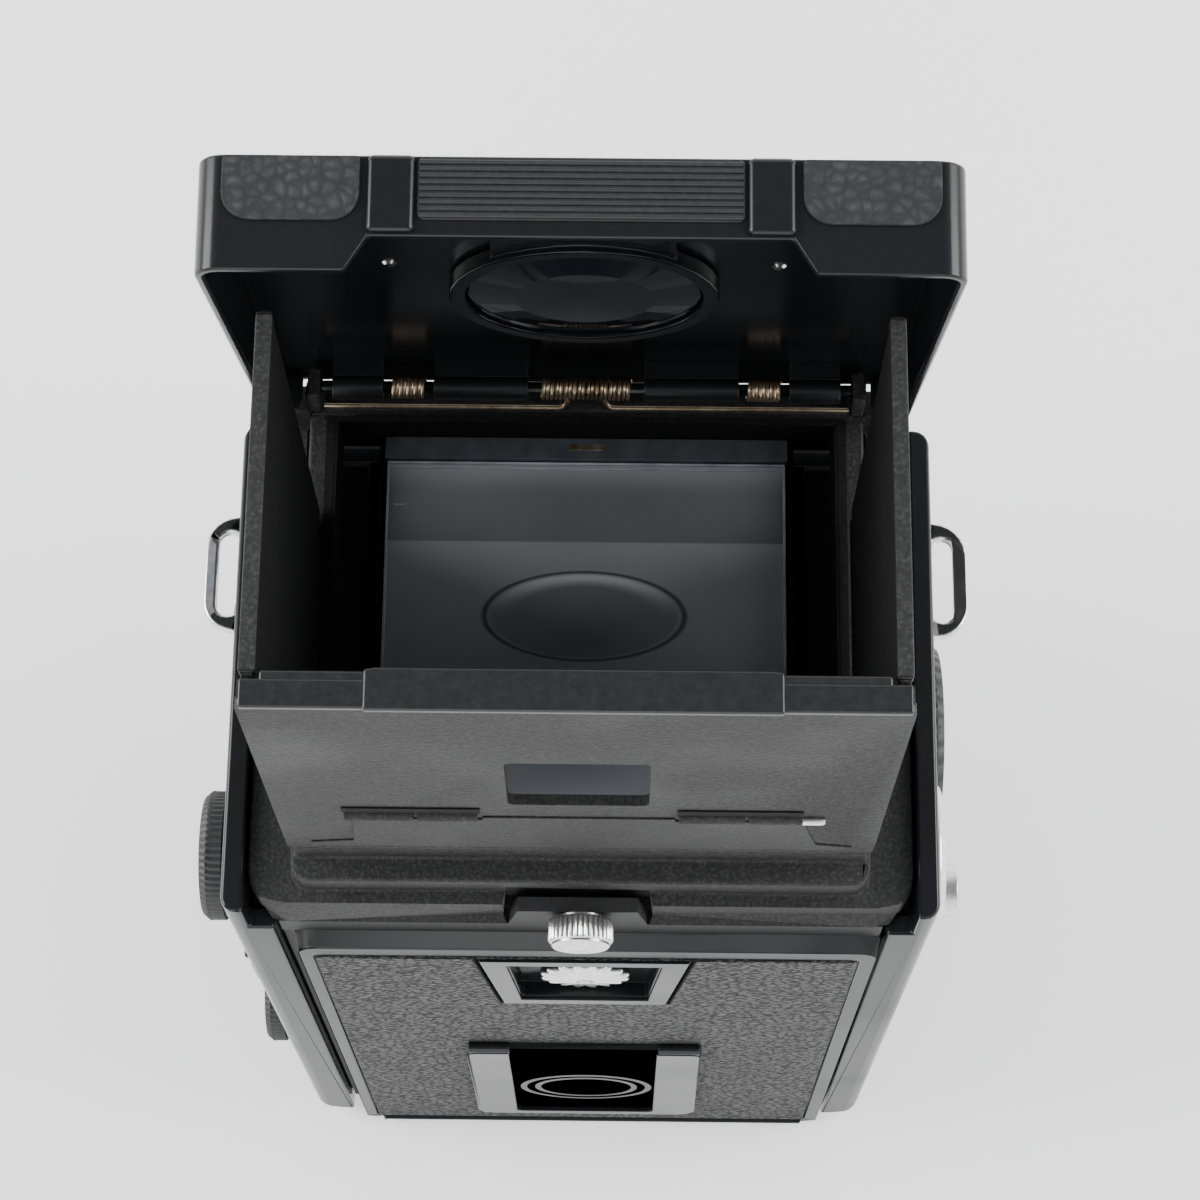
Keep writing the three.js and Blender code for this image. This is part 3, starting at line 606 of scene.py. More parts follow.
# The well is lined in dull black, from the plinth's top down to the screen.
PLINTH_TOP = 155
WELL = (-34.9, 34.9, -34.7, 24.3)
bm = bmesh.new()
well_flange = [rounded(-36.1, 36.1, -35.3, 26.5, 0.5, 2), rounded(*WELL, 0.5, 2)]
plate(bm, "z", well_flange, PLINTH_TOP - 0.1, PLINTH_TOP + 0.15)
plate(bm, "z", [rounded(*WELL, 0.3, 2), rounded(-34.5, 34.5, -34.3, 23.9, 0.3, 2)], 146, PLINTH_TOP + 0.1)
fit(piece_from("well_lining", bm, MATT), "root", "matt_black")

# A foot on each side of the plinth's front closes the corner under the lid's hinge.
FOOT = [(38.4, -39.6), (43.8, -39.6), (43.8, -35.6), (38.4, -35.6)]
bm = bmesh.new()
for side in (-1, 1):
    plate(bm, "z", [[(side * x, y) for x, y in FOOT]], 149, PLINTH_TOP + 0.2)
fit(piece_from("hinge_feet", bm, WRINKLE, 0.4 * MM), "root", "wrinkle_black")

# The thumbscrew that holds the hood: straight knurl, a plain collar and a dished end.
GROOVES, GROOVE_DEPTH = 40, 0.22


def straight_knurl(r, t, angle):
    return r - (GROOVE_DEPTH * abs(math.sin(GROOVES / 2 * angle)) if r > 4.2 and t < 37.7 else 0)


bm = bmesh.new()
screw_profile = [(0, 34.3), (3, 34.3), (3, 34.8), (4.25, 34.8), (4.35, 34.95), (4.35, 37.6), (4.1, 37.9),
                 (3.9, 38.0), (3.9, 38.3), (3.7, 38.5), (2.9, 38.5), (2.6, 38.2), (1.4, 38.05), (0, 38.05)]
lathe(bm, "y", (-0.1, 148), screw_profile, 240, straight_knurl)
fit(piece_from("knurled_screw", bm, CHROME, angle=40), "screw", "chrome", "hood_screw")

# ------------------------------------------------------------------ hood walls
# Thin sheet leaves in the same wrinkle paint outside, and dull black inside. The rear one has a
# sports finder's window and a folded top edge, and two barrel hinges across its outside.
for node, body, side in (("left_hood_wall", "left_wall", 1), ("right_hood_wall", "right_wall", -1)):
    wall = finished(node, body, "wrinkle_black", WRINKLE, 0.25)
    faced(wall, MATT, lambda centre, normal: normal.x * side < -0.7)
rear_wall = finished("rear_hood_wall", "rear_wall", "wrinkle_black", WRINKLE, 0)
faced(rear_wall, MATT, lambda centre, normal: normal.y < -0.7)

WALL_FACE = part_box("rear_hood_wall")[1].y / MM
FLANGE_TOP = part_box("rear_hood_wall")[1].z / MM


def semi_gloss():
    finish = Finish("semi_gloss_paint", Specular_IOR_Level=0.5)
    mottle = finish.noise(0.0013, 5, 0.75)
    clean, dull, speck = (0.008, 0.0085, 0.0095), (0.013, 0.0135, 0.015), (0.05, 0.05, 0.048)
    finish.colour(mottle, (0.4, clean), (0.66, dull), (0.78, speck))
    finish.rough(mottle * 0.16 + 0.26)
    finish.relief(mottle, 0.00002, 0.5)
    return finish.material


SEMI_GLOSS = semi_gloss()


def block(bm, x0, x1, y0, y1, z0, z1):
    """Adds a rectangular block to bm, in mm."""
    plate(bm, "z", [[(x0, y0), (x1, y0), (x1, y1), (x0, y1)]], z0, z1)


# The rear wall's top edge is folded inwards and painted smooth, with a stiffer middle.
bm = bmesh.new()
block(bm, -38.1, 38.1, 24.6, 28.1, FLANGE_TOP - 1.1, FLANGE_TOP + 0.1)
block(bm, -35.8, 35.8, 23.6, 25, FLANGE_TOP - 1.1, FLANGE_TOP + 0.05)
fit(piece_from("rear_wall_fold", bm, SEMI_GLOSS, 0.4 * MM), "rear_wall", "gloss_black")
STIFFENER = [(-23.6, 23.4), (-22.2, 23.2), (22.6, 23.2), (24, 23.4), (24, 28.35), (-23.6, 28.35)]
bm = bmesh.new()
plate(bm, "z", [STIFFENER], FLANGE_TOP - 0.9, FLANGE_TOP + 0.25)
fit(piece_from("rear_wall_stiffener", bm, SEMI_GLOSS, 0.4 * MM), "rear_wall", "gloss_black")

# The lower leaf stands a little proud, and two barrel hinges with steel pins cross its top.
HINGE_Z = 176.6
LEAF_TOP, BARREL_SEAT = HINGE_Z - 0.6, HINGE_Z - 1.6
LEAF_RIGHT = [(-31.5, 161.4), (-35.4, 161.4), (-35.4, 163), (-30.6, 164.2), (-28.4, BARREL_SEAT),
              (-12.2, BARREL_SEAT), (-12.2, LEAF_TOP)]
LEAF_LEFT = [(12.2, LEAF_TOP), (12.2, BARREL_SEAT), (28.6, BARREL_SEAT), (29.4, 164.2), (35, 163), (35, 161.4),
             (31, 161.4)]
bm = bmesh.new()
plate(bm, "y", [LEAF_RIGHT + LEAF_LEFT], WALL_FACE - 0.2, WALL_FACE + 0.08)
fit(piece_from("rear_lower_leaf", bm, WRINKLE, 0.12 * MM), "rear_wall", "wrinkle_black")
bm = bmesh.new()
for low_x, high_x in ((12.8, 20.4), (20.8, 29.6), (-28, -21.4), (-21, -12.6)):
    lathe(bm, "x", (WALL_FACE - 0.1, HINGE_Z), [(0, low_x), (0.9, low_x), (0.9, high_x), (0, high_x)], 32)
fit(piece_from("rear_hinge_barrels", bm, WRINKLE, 0.2 * MM), "rear_wall", "wrinkle_black")
bm = bmesh.new()
for x0, x1 in ((12.4, 29.8), (-28.2, -12.4)):
    block(bm, x0, x1, WALL_FACE - 0.1, WALL_FACE + 0.05, HINGE_Z + 1.3, HINGE_Z + 3.2)
fit(piece_from("hinge_slots", bm, MATT), "rear_wall", "matt_black")
pin_end = [(0, -31), (0.45, -31), (0.6, -30.6), (0.6, -28.2), (0, -28.2)]
bm = bmesh.new()
lathe(bm, "x", (WALL_FACE + 0.15, HINGE_Z), pin_end, 32)
fit(piece_from("hinge_pin_end", bm, CHROME), "rear_wall", "chrome")

# A silvered pin head shows outside the left wall and a brass one outside the right.
PIN_HEAD = [(0, 37.8), (1, 37.8), (1, 38.24), (0, 38.26)]
for side, body, material, slot in ((1, "left_wall", CHROME, "chrome"), (-1, "right_wall", BRONZE, "bronze")):
    bm = bmesh.new()
    lathe(bm, "x", (-14.6, 214), [(r, side * x) for r, x in PIN_HEAD], 32)
    fit(piece_from(body + "_pin", bm, material), body, slot)

# ------------------------------------------------------------------ lid
# A pressed lid in gloss enamel. Its skirt deepens towards the top and is cut away between two
# lugs, and two rails cross the top. It's drawn upright about its hinge, then leaned back.
LID_LEAN = math.radians(-5.2)
HINGE = Vector((0, -37.4, 160)) * MM
LID_PLACE = Matrix.Translation(HINGE) @ Matrix.Rotation(LID_LEAN, 4, "X")
LID_HALF, LID_TOP, LID_FOOT, LID_CORNER = 44.7, 72.6, -3, 3.2
LID_OUT, LID_IN, LID_WALL = -4.8, -3.6, 1.2
LUG_DEPTH, MIDDLE_DEPTH, FOOT_DEPTH = 9.4, 5.2, 3.2


def leaned(bm):
    """Leans a mesh drawn upright about the hinge back to the open lid's place."""
    bmesh.ops.transform(bm, matrix=LID_PLACE, verts=bm.verts)
    return bm


def lid_edge(inset):
    """Points (x, z) up the left side, over the top and down, with the corners rounded."""
    half, top, corner = LID_HALF - inset, LID_TOP - inset, LID_CORNER - inset
    points = [(-half, LID_FOOT), (-half, 20), (-half, 45)]
    turns = [math.pi / 2 * i / 8 for i in range(9)]
    points += [(-half + corner - corner * math.cos(a), top - corner + corner * math.sin(a)) for a in turns]
    points += [(x, top) for x in (-27.2, -24.6, 24.6, 27.2)]
    points += [(half - corner + corner * math.sin(a), top - corner + corner * math.cos(a)) for a in turns]
    return points + [(half, 45), (half, 20), (half, LID_FOOT)]


def lid_depth(x, z):
    """How far the skirt reaches back at a point of the lid's edge."""
    if z > LID_TOP - 3.5:
        return MIDDLE_DEPTH if abs(x) < 25 else LUG_DEPTH
    return FOOT_DEPTH + (LUG_DEPTH - FOOT_DEPTH) * (z - LID_FOOT) / (LID_TOP - LID_CORNER - LID_FOOT)


# The pressing's face, rim, lip and inside are four strips between the outer and inner edges.
bm = bmesh.new()
outer, inner = lid_edge(0), lid_edge(LID_WALL)
depths = [lid_depth(x, z) for x, z in outer]
front = [bm.verts.new((x, LID_OUT, z)) for x, z in outer]
rim = [bm.verts.new((x, d, z)) for (x, z), d in zip(outer, depths)]
lip = [bm.verts.new((x, d, z)) for (x, z), d in zip(inner, depths)]
back = [bm.verts.new((x, LID_IN, z)) for x, z in inner]
for i in range(len(outer) - 1):
    for a, b in ((front, rim), (rim, lip), (lip, back)):
        bm.faces.new((a[i], a[i + 1], b[i + 1], b[i]))
bm.faces.new(front)
bm.faces.new(back)
for i in (0, -1):
    bm.faces.new((front[i], rim[i], lip[i], back[i]))
bm.faces.new((front[0], back[0], back[-1], front[-1]))
bmesh.ops.scale(bm, vec=(MM, MM, MM), verts=bm.verts)
bmesh.ops.recalc_face_normals(bm, faces=bm.faces)
fit(piece_from("lid_pressing", leaned(bm), ENAMEL, 0.45 * MM, 4), "lid", "gloss_black", "lid")

bm = bmesh.new()
for x in (-22, 22):
    block(bm, x - 2.8, x + 2.8, LID_OUT + 0.2, MIDDLE_DEPTH - 0.3, LID_TOP - 0.4, LID_TOP + 0.95)
fit(piece_from("lid_rails", leaned(bm), ENAMEL, 0.8 * MM, 4), "lid", "gloss_black")

# Four knuckles turn on the hinge rod, and a web along the foot closes the gap behind it.
WEB = (-2.9, -2.2)
WEB_CORNER = [(39.4, LID_IN), (43.5, LID_IN), (43.5, 3.4), (40.6, 3.4), (39.4, 1)]
bm = bmesh.new()
for low_x, high_x in ((8, 21), (28, 35), (-21, -8), (-35, -28)):
    profile = [(1.1, low_x), (1.7, low_x), (1.7, high_x), (1.1, high_x), (1.1, low_x)]
    lathe(bm, "x", (0, 0), profile, 40)
    block(bm, low_x, high_x, LID_IN - 0.1, -1.2, -1, 1.2)
block(bm, -43.4, 43.4, LID_IN - 0.1, -1.9, *WEB)
for side in (-1, 1):
    plate(bm, "z", [[(side * x, y) for x, y in WEB_CORNER]], *WEB)
fit(piece_from("lid_knuckles", leaned(bm), SEMI_GLOSS, 0.15 * MM), "lid", "gloss_black")

# Two rivets hold the magnifier's spring inside the lid.
RIVET = [(0, -0.1), (0.95, -0.1), (0.95, 0.12), (0.6, 0.4), (0, 0.45)]
bm = bmesh.new()
for x in (-24.5, 24.5):
    lathe(bm, "y", (x, 40), [(r, LID_IN + t) for r, t in RIVET], 24)
fit(piece_from("lid_rivets", leaned(bm), CHROME), "lid", "chrome")


def coarse_leather():
    finish = Finish("coarse_leatherette", Specular_IOR_Level=0.5)
    drift = finish.drifting(0.0012, 300, finish.place)
    pebbles = finish.cells(0.0015, "F1", drift)
    creases = finish.cells(0.0015, "DISTANCE_TO_EDGE", drift)
    grain = finish.noise(0.0007, 3, 0.6)
    height = creases.between(0.0, 0.5) * 0.35 + (1 - pebbles) * 0.3 + grain * 0.4
    # The creases are painted darker as shade, and the crests are painted lighter as a highlight.
    shaded_crease, pebble, lit_crest = (0.008, 0.0082, 0.009), (0.02, 0.0205, 0.0225), (0.05, 0.052, 0.057)
    finish.colour(height, (0.3, shaded_crease), (0.7, pebble), (0.95, lit_crest))
    finish.rough(0.9 - height * 0.4)
    finish.relief(height, 0.0004, 0.9)
    return finish.material


# A patch of coarser leatherette lies on each end of the lid's top edge.
PEBBLED = coarse_leather()
for name, x0, x1 in (("left", 25.6, 41.6), ("right", -41.6, -25.6)):
    bm = bmesh.new()
    patch = rounded(x0, x1, LID_OUT + 0.25, 3.4, [0.6, 0.6, 3.4, 3.4])
    plate(bm, "z", [patch], LID_TOP - 0.1, LID_TOP + 0.45)
    fit(piece_from("lid_patch_" + name, leaned(bm), PEBBLED, 0.2 * MM), "lid", "leather")


def evaluated_mesh(holder):
    """The mesh that an object's curve or modifier makes. The object itself is removed."""
    evaluated = holder.evaluated_get(bpy.context.evaluated_depsgraph_get())
    mesh = bpy.data.meshes.new_from_object(evaluated)
    bpy.data.objects.remove(holder)
    return mesh


class Shape(Tree):
    """A Geometry Nodes tree with named number inputs, run once and turned into a plain mesh."""

    def __init__(self, name, **sizes):
        self.group = bpy.data.node_groups.new(name, "GeometryNodeTree")
        super().__init__(self.group)
        self.name, self.sizes, self.ids = name, sizes, {}
        for size, value in sizes.items():
            kind = "NodeSocketInt" if isinstance(value, int) else "NodeSocketFloat"
            socket = self.group.interface.new_socket(size, in_out="INPUT", socket_type=kind)
            self.ids[size] = socket.identifier
        self.group.interface.new_socket("Geometry", in_out="OUTPUT", socket_type="NodeSocketGeometry")
        self.inputs = self.group.nodes.new("NodeGroupInput")
        self.outputs = self.group.nodes.new("NodeGroupOutput")

    def __getitem__(self, size):
        return Value(self, self.inputs.outputs[size])

    def vector(self, x=0.0, y=0.0, z=0.0):
        return self.node("ShaderNodeCombineXYZ", {}, {0: x, 1: y, 2: z})

    def swept(self, curve, radius, sides):
        """A round bar along a curve."""
        section = self.node("GeometryNodeCurvePrimitiveCircle", {}, {"Resolution": sides, "Radius": radius})
        inputs = {"Curve": curve, "Profile Curve": section, "Fill Caps": True}
        return self.node("GeometryNodeCurveToMesh", {}, inputs)

    def made(self, geometry, material, matrix):
        real = self.node("GeometryNodeRealizeInstances", {}, {0: geometry})
        coated = self.node("GeometryNodeSetMaterial", {}, {"Geometry": real, "Material": material})
        self.feed(self.outputs.inputs[0], coated)
        holder = bpy.data.objects.new(self.name, bpy.data.meshes.new(self.name))
        bpy.context.scene.collection.objects.link(holder)
        run = holder.modifiers.new("shape", "NODES")
        run.node_group = self.group
        for size, value in self.sizes.items():
            run[self.ids[size]] = value
        mesh = evaluated_mesh(holder)
        mesh.transform(matrix)
        mesh.shade_smooth()
        mesh.set_sharp_from_angle(angle=math.radians(40))
        piece = bpy.data.objects.new(self.name, mesh)
        bpy.context.scene.collection.objects.link(piece)
        return piece


def ribs(name, count, pitch, length, radius, material, matrix):
    """Round ribs along X, set side by side along Y."""
    shape = Shape(name, Count=count, Pitch=pitch, Length=length, Radius=radius)
    step = shape.vector(y=shape["Pitch"])
    points = shape.node("GeometryNodeMeshLine", {"mode": "OFFSET"}, {"Count": shape["Count"], "Offset": step})
    ends = {"Start": shape.vector(x=shape["Length"] * -0.5), "End": shape.vector(x=shape["Length"] * 0.5)}
    line = shape.node("GeometryNodeCurvePrimitiveLine", {}, ends)
    rib = shape.swept(line, shape["Radius"], 14)
    row = shape.node("GeometryNodeInstanceOnPoints", {}, {"Points": points, "Instance": rib})
    return shape.made(row, material, matrix)


# A moulded strip with fine ribs gives a grip between the rails.
grip_place = LID_PLACE @ Matrix.Translation(Vector((0, LID_OUT + 0.95, LID_TOP + 0.32)) * MM)
grip = ribs("grip_ribs", 9, 0.82 * MM, 37.4 * MM, 0.29 * MM, MOULDING, grip_place)
fit(grip, "lid", "black_plastic")
bm = bmesh.new()
plate(bm, "z", [rounded(-18.9, 18.9, LID_OUT + 0.3, 3.2, 0.8)], LID_TOP - 0.1, LID_TOP + 0.3)
fit(piece_from("grip_strip", leaned(bm), MOULDING, 0.12 * MM), "lid", "black_plastic", "lid_rib_strip")

# Slotted steel arms in the lid's corners steady the side walls.
ARM_X, ARM_HALF = 42.2, 0.25
arm_outlines = [rounded(-2.4, -0.2, 49, 66, 1, 4), rounded(-1.7, -0.9, 51, 64, 0.35, 3)[::-1]]
for side, name in ((1, "left"), (-1, "right")):
    bm = bmesh.new()
    plate(bm, "x", arm_outlines, side * ARM_X - ARM_HALF, side * ARM_X + ARM_HALF)
    stud = [(0, 41.4), (0.7, 41.4), (0.7, 43.2), (0, 43.2)]
    lathe(bm, "x", (-1.3, 65.2), [(r, side * x) for r, x in stud], 20)
    fit(piece_from("lid_arm_" + name, leaned(bm), CHROME, 0.08 * MM, 2), "lid", "chrome")

# ------------------------------------------------------------------ lid hinge
# A black rod carries the lid, with bronze coil springs wound round it.
dress(ENAMEL, "lid_hinge_rod")


def coil(name, turns, radius, length, wire, material, matrix):
    """A spring of round wire wound along Z from the origin."""
    shape = Shape(name, Turns=turns, Radius=radius, Length=length, Wire=wire)
    spiral = shape.node("GeometryNodeCurveSpiral", {}, {
        "Resolution": 20, "Rotations": shape["Turns"], "Start Radius": shape["Radius"],
        "End Radius": shape["Radius"], "Height": shape["Length"],
    })
    return shape.made(shape.swept(spiral, shape["Wire"], 8), material, matrix)


COIL_RADIUS, COIL_WIRE, COIL_GAP = 1.35, 0.26, 0.25
COILS = [("left", 22, 27, 9.0), ("middle", -6.4, 6.4, 20.0), ("right", -27, -22, 9.0)]
for name, low_x, high_x, turns in COILS:
    start = Matrix.Translation(HINGE + Vector((low_x + COIL_GAP, 0, 0)) * MM)
    along_rod = start @ Matrix.Rotation(math.pi / 2, 4, "Y")
    length = (high_x - low_x - 2 * COIL_GAP) * MM
    spring = coil("lid_coil_" + name, turns, COIL_RADIUS * MM, length, COIL_WIRE * MM, BRONZE, along_rod)
    fit(spring, "root", "bronze", "lid_spring_" + name)


def bent_wire(name, points, radius, material):
    """A round wire through points in mm, its bends rounded by a spline, as a mesh."""
    curve = bpy.data.curves.new(name, "CURVE")
    curve.dimensions = "3D"
    curve.bevel_depth = radius * MM
    curve.bevel_resolution = 3
    curve.use_fill_caps = True
    line = curve.splines.new("NURBS")
    line.points.add(len(points) - 1)
    for point, place in zip(line.points, points):
        point.co = (*(Vector(place) * MM), 1)
    line.use_endpoint_u = True
    line.order_u = 3
    line.resolution_u = 6
    holder = bpy.data.objects.new(name, curve)
    bpy.context.scene.collection.objects.link(holder)
    mesh = evaluated_mesh(holder)
    mesh.materials.clear()
    mesh.materials.append(material)
    mesh.shade_smooth()
    wire = bpy.data.objects.new(name, mesh)
    bpy.context.scene.collection.objects.link(wire)
    return wire


# Each outer spring's leg runs along the sill and turns up beside the middle of the hinge.
LEG = [(x, -35.8, 157) for x in (36.4, 20, 4.6, 3.4)] + [(2.8, -36.2, 157.4), (2.6, -36.4, 158)]
for side, name in ((1, "left"), (-1, "right")):
    wire = bent_wire("spring_leg_" + name, [(side * x, y, z) for x, y, z in LEG], 0.32, BRONZE)
    fit(wire, "root", "bronze")

# ------------------------------------------------------------------ magnifier
# A black ring with a flat neck swings on a pin near the lid's top and holds a coated lens.


def coated_glass():
    finish = Finish("coated_glass", Specular_IOR_Level=0.7, IOR=1.52, Coat_Weight=0.6, Coat_Roughness=0.02)
    sheen = finish.noise(0.02, 2)
    finish.colour(sheen, (0.3, (0.006, 0.008, 0.012)), (0.7, (0.012, 0.014, 0.02)))
    finish.rough(sheen * 0.03 + 0.02)
    return finish.material


GLASS = coated_glass()
finished("magnifier_frame", "magnifier", "black_plastic", ENAMEL, 0.3)
dress(GLASS, "magnifier_lens")

# ------------------------------------------------------------------ focusing screen
# A ground glass pane in a blackened frame, held down at the front by a bar. A dim reflection of the viewing
# lens is painted in it.


def ground_glass():
    """Finely ground, darker towards the front. Its tones are painted light and shade: a pale back, painted rays
    of light, and a painted reflection of the viewing lens as a dark ellipse with a crescent highlight.
    """
    finish = Finish("ground_glass", IOR=1.52, Specular_IOR_Level=0.5)
    x = finish.node("ShaderNodeSeparateXYZ", {}, {0: finish.place}, 0)
    y = finish.node("ShaderNodeSeparateXYZ", {}, {0: finish.place}, 1)
    across, along = x * (1 / 0.0146), (y + 0.0082) * (1 / 0.0068)
    squares = across * across + along * along
    ring = squares.math("SQRT", squares)
    haze = finish.noise(0.02, 3)
    # Painted rays of light spread over the pane.
    fan = finish.node("ShaderNodeCombineXYZ", {}, {0: x * 9 / (y + 0.035), 1: 0.0})
    painted_rays = finish.noise(0.09, 2, place=fan)
    near = y.between(-0.0312, -0.026)
    beyond = y.between(-0.0193, -0.0189)
    pane = (1 - near) * 0.3 + beyond * 0.22 + haze * 0.12 + painted_rays * near * 0.14
    pane = pane + y.between(0.002, 0.014) * 0.9
    # The ellipse, its dark rim and the crescent are a painted reflection of the viewing lens, with a painted
    # highlight.
    rim = ring.between(0.95, 1.0) + (1 - ring.between(0.9, 0.95))
    inside = 1 - ring.between(0.86, 0.93)
    painted_crescent_highlight = ring.between(0.6, 0.84) * inside * (0 - along).between(-0.1, 0.9) * 0.5
    tone = pane * rim * (1 - inside * 0.45) + painted_crescent_highlight
    dark, slate, grey, pale = (0.05, 0.055, 0.06), (0.18, 0.19, 0.2), (0.34, 0.35, 0.355), (0.6, 0.63, 0.66)
    finish.colour(tone, (0.0, dark), (0.3, slate), (0.6, grey), (1.0, pale))
    finish.rough(haze * 0.06 + 0.14)
    return finish.material


SCREEN = ground_glass()
finished("screen_frame", "root", "matt_black", MATT, 0.2)
finished("focusing_screen", "root", "screen_glass", SCREEN, 0.15)


def clouded(name, size, dark, light):
    finish = Finish(name, Specular_IOR_Level=0.5)
    mottle = finish.noise(size, 4)
    finish.colour(mottle, (0.3, dark), (0.7, light))
    finish.rough(mottle * 0.1 + 0.3)
    return finish.material


# A slate bar clamps the pane at the front, over a brass spring tab. The pane's polished edges are pale strips,
# a painted highlight where they catch the light, and it has a small scale at the left.
SLATE = clouded("slate_edge", 0.0025, (0.03, 0.036, 0.042), (0.05, 0.058, 0.066))
PALE = clouded("pale_line", 0.004, (0.16, 0.18, 0.2), (0.3, 0.33, 0.35))
PANE_TOP = 148.4
PANE_HALF, PANE_FRONT, PANE_BACK = 27.9, -30.9, 22
bm = bmesh.new()
block(bm, -28.3, 28.3, -34.3, -31, 148, 149.6)
fit(piece_from("screen_bar", bm, SLATE, 0.2 * MM), "root", "screen_glass")
bm = bmesh.new()
block(bm, -2.4, 2.4, -33.3, -32.4, 149.5, 149.72)
fit(piece_from("screen_tab", bm, BRONZE, 0.05 * MM), "root", "bronze")
bm = bmesh.new()
# The pale strips along the pane's front and sides are painted highlights; the short bars are the scale.
block(bm, -PANE_HALF, PANE_HALF, PANE_FRONT, PANE_FRONT + 0.35, PANE_TOP - 0.05, PANE_TOP + 0.35)
block(bm, -PANE_HALF, PANE_HALF, PANE_FRONT + 0.8, PANE_FRONT + 1, PANE_TOP - 0.05, PANE_TOP + 0.2)
for x in (-27.8, 27.8):
    block(bm, x - 0.18, x + 0.18, PANE_FRONT, PANE_BACK, PANE_TOP - 0.1, PANE_TOP + 0.25)
for y, length in ((-24.6, 1.6), (-11.5, 3), (2.6, 3), (15.4, 3)):
    block(bm, PANE_HALF - 1 - length, PANE_HALF - 1, y, y + 0.18, PANE_TOP - 0.01, PANE_TOP + 0.07)
fit(piece_from("screen_edges", bm, PALE, 0.04 * MM), "root", "screen_glass")

# ------------------------------------------------------------------ front
# The standard carries a board with the viewing lens above the shutter and the taking lens. The
# mounts are enamelled and end in bright rims, and the levers are chromed.
VIEWING_Z, TAKING_Z = 116, 66
for node in ("front_standard", "lens_board", "viewing_barrel", "shutter_housing", "taking_barrel"):
    finished(node, "front", "gloss_black", ENAMEL, 0.4)
for node, body in (("aperture_lever", "aperture"), ("cocking_lever", "cocking"), ("shutter_lever", "shutter")):
    finished(node, body, "chrome", CHROME, 0.2)
bm = bmesh.new()
RIM = [(-1, 0.4), (-0.8, -0.25), (0, -0.25), (0.2, 0.4), (-1, 0.4)]
for height, radius, face in ((VIEWING_Z, 19.9, -66), (TAKING_Z, 21.4, -75)):
    lathe(bm, "y", (0, height), [(radius + r, face + t) for r, t in RIM], 96)
fit(piece_from("lens_rims", bm, CHROME), "front", "chrome")

# Each lens shows a bulged front element, with two stepped black rings round it.
GLASS_RADIUS, BULGE = 14.8, 3
RETAINER = [(-0.9, 0), (-0.8, -0.5), (0, -0.7), (0, 0), (-0.9, 0)]
for name, height, face in (("viewing", VIEWING_Z, -60), ("taking", TAKING_Z, -65.4)):
    bm = bmesh.new()
    turns = [math.pi / 2 * i / 12 for i in range(12)]
    bulge = [(GLASS_RADIUS * math.sin(a), face + BULGE * (1 - math.cos(a))) for a in turns]
    wall = [(GLASS_RADIUS, face + BULGE), (GLASS_RADIUS, face + 6), (0, face + 6)]
    lathe(bm, "y", (0, height), bulge + wall, 96)
    fit(piece_from(name + "_element", bm, GLASS), "front", "lens_glass", name + "_glass")
    bm = bmesh.new()
    for radius, depth in ((15.6, 4.4), (15.2, 3.4)):
        lathe(bm, "y", (0, height), [(radius + r, face + depth + t) for r, t in RETAINER], 96)
    fit(piece_from(name + "_retainer", bm, SEMI_GLOSS), "front", "gloss_black")

# The speed ring is chromed, with a row of dark marks.
finished("speed_ring", "speeds", "chrome", CHROME, 0.2)


def marks(name, count, radius, length, width, material, matrix):
    """Small bars set radially round a circle in the XY plane."""
    shape = Shape(name, Count=count, Radius=radius, Length=length, Width=width)
    circle = shape.node("GeometryNodeMeshCircle", {}, {"Vertices": shape["Count"], "Radius": shape["Radius"]})
    bar_size = shape.vector(shape["Length"], shape["Width"], shape["Width"])
    bar = shape.node("GeometryNodeMeshCube", {}, {"Size": bar_size})
    position = shape.node("GeometryNodeInputPosition", {}, {})
    aim = shape.node("FunctionNodeAlignRotationToVector", {"axis": "X"}, {"Vector": position})
    inputs = {"Points": circle, "Instance": bar, "Rotation": aim}
    return shape.made(shape.node("GeometryNodeInstanceOnPoints", {}, inputs), material, matrix)


ring_face = Matrix.Translation(Vector((0, -59.85, TAKING_Z)) * MM) @ Matrix.Rotation(math.pi / 2, 4, "X")
speed_marks = marks("speed_marks", 40, 25.6 * MM, 1.6 * MM, 0.22 * MM, MOULDING, ring_face)
fit(speed_marks, "speeds", "black_plastic")

# The bellows folds into seven pleats of thin black cloth.
BACK_Y, FRONT_Y, PLEATS = -23.2, -36.3, 7
CREST_INSET, VALLEY_INSET, CLOTH = 0.1, 3.4, 0.5


def bellows_loop(step, thickness):
    """The cloth's outline at one crest or valley, drawn in by the thickness for its inner face."""
    inset = (CREST_INSET if step % 2 else VALLEY_INSET) + thickness
    y = BACK_Y + (FRONT_Y - BACK_Y) * step / (2 * PLEATS)
    return [(x, y, z) for x, z in rounded(-34 + inset, 34 - inset, 40 + inset, 139 - inset, 3, 5)]


bm = bmesh.new()
outside = [bellows_loop(step, 0) for step in range(2 * PLEATS + 1)]
inside = [bellows_loop(step, CLOTH) for step in range(2 * PLEATS, -1, -1)]
skin = outside + inside
rings = [[bm.verts.new(Vector(point) * MM) for point in loop] for loop in skin]
for first, second in zip(rings, rings[1:] + rings[:1]):
    for i in range(len(first)):
        j = (i + 1) % len(first)
        bm.faces.new((first[i], first[j], second[j], second[i]))
bmesh.ops.recalc_face_normals(bm, faces=bm.faces)
pleats = piece_from("bellows_pleats", bm, MATT, angle=25)
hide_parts("bellows")
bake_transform(pleats)

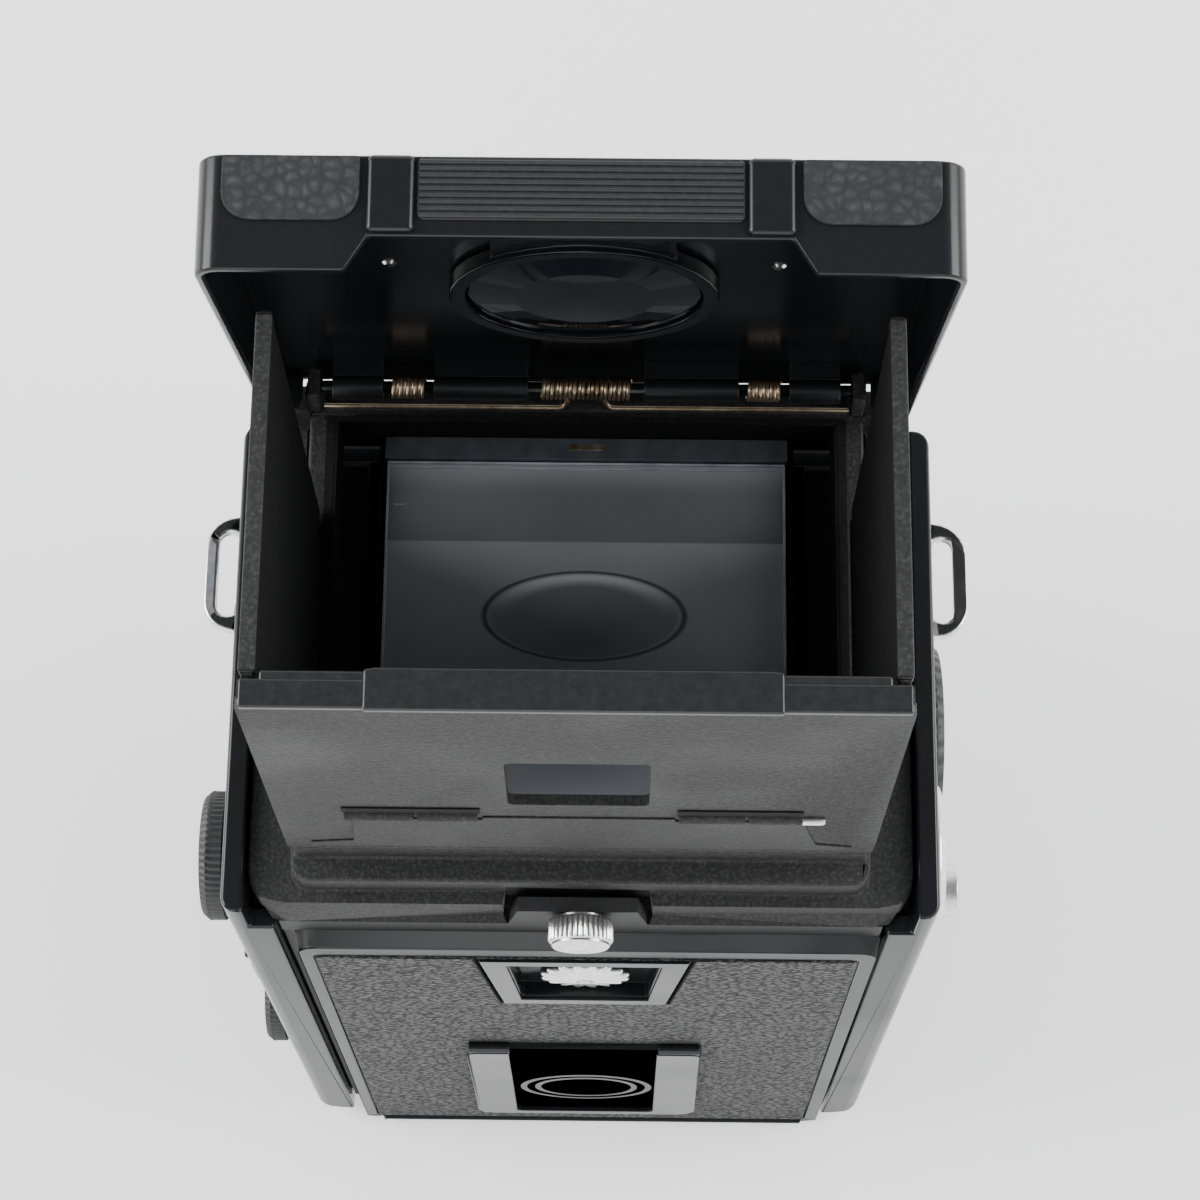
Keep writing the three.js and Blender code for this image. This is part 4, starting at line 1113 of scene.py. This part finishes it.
# ------------------------------------------------------------------ knobs and crank
# Moulded knobs with straight ribs or slanted knurls. The winding crank, its handle, the strap
# lugs and the release button are chromed.
FOCUS_AXIS = (-26, 30)
FOCUS_PROFILE = [(0, 49.4), (3.3, 49.4), (3.3, 48.7), (16.2, 48.7), (17, 49.5), (17, 59.6), (16, 60.8),
                 (15, 60.9), (14.6, 60.4), (0, 60.4)]
FOCUS_CAP = [(0, 60.2), (5, 60.2), (4.6, 60.75), (0, 60.95)]


def ribbed(r, t, angle):
    return r - (0.45 * (0.5 + 0.5 * math.cos(36 * angle)) if r > 16.5 else 0)


for side, name in ((1, "left"), (-1, "right")):
    bm = bmesh.new()
    lathe(bm, "x", FOCUS_AXIS, [(r, side * t) for r, t in FOCUS_PROFILE], 288, ribbed)
    lathe(bm, "x", FOCUS_AXIS, [(r, side * t) for r, t in FOCUS_CAP], 48)
    fit(piece_from("ribbed_knob_" + name, bm, MOULDING), "focus_drive", "black_plastic", "focus_knob_" + name)
    finished("strap_lug_" + name, "root", "chrome", CHROME, 0.5, 4)

# The spool knobs have two knurled bands with a groove between them, on a stem that enters the spool.
KNURLED, GROOVE = 9.55, 9.0
band_rows = [49.3, 49.9, 50.5, 51.1, 51.7], [52.3, 52.9, 53.5, 54.1, 54.6]
first_band, second_band = ([(KNURLED, x) for x in rows] for rows in band_rows)
stem = [(0, 31.1), (2.8, 31.1), (2.8, 35.5), (4.6, 35.5), (4.6, 48.7), (9.1, 48.7)]
cap = [(8.7, 55.6), (7.6, 55.7), (7.3, 55.3), (0, 55.3)]
knob_profile = stem + first_band + [(GROOVE, 51.8), (GROOVE, 52.2)] + second_band + cap


def slanted_knurl(r, t, angle):
    return r - (0.3 * abs(math.sin(30 * angle + 5.2 * (t % 1.2))) if r > 9.3 else 0)


for name, height in (("upper", 111.5), ("lower", 20)):
    bm = bmesh.new()
    lathe(bm, "x", (17, height), knob_profile, 240, slanted_knurl)
    fit(piece_from(name + "_knurled_knob", bm, MOULDING), name + "_knob", "black_plastic", name + "_spool_knob")
finished("crank_disc", "crank", "chrome", CHROME, 0.3)
finished("crank_handle", "handle", "chrome", CHROME, 0.25)
finished("release_button", "release", "chrome", CHROME, 0.3)
finished("back_latch", "latch", "gloss_black", ENAMEL, 0.3)
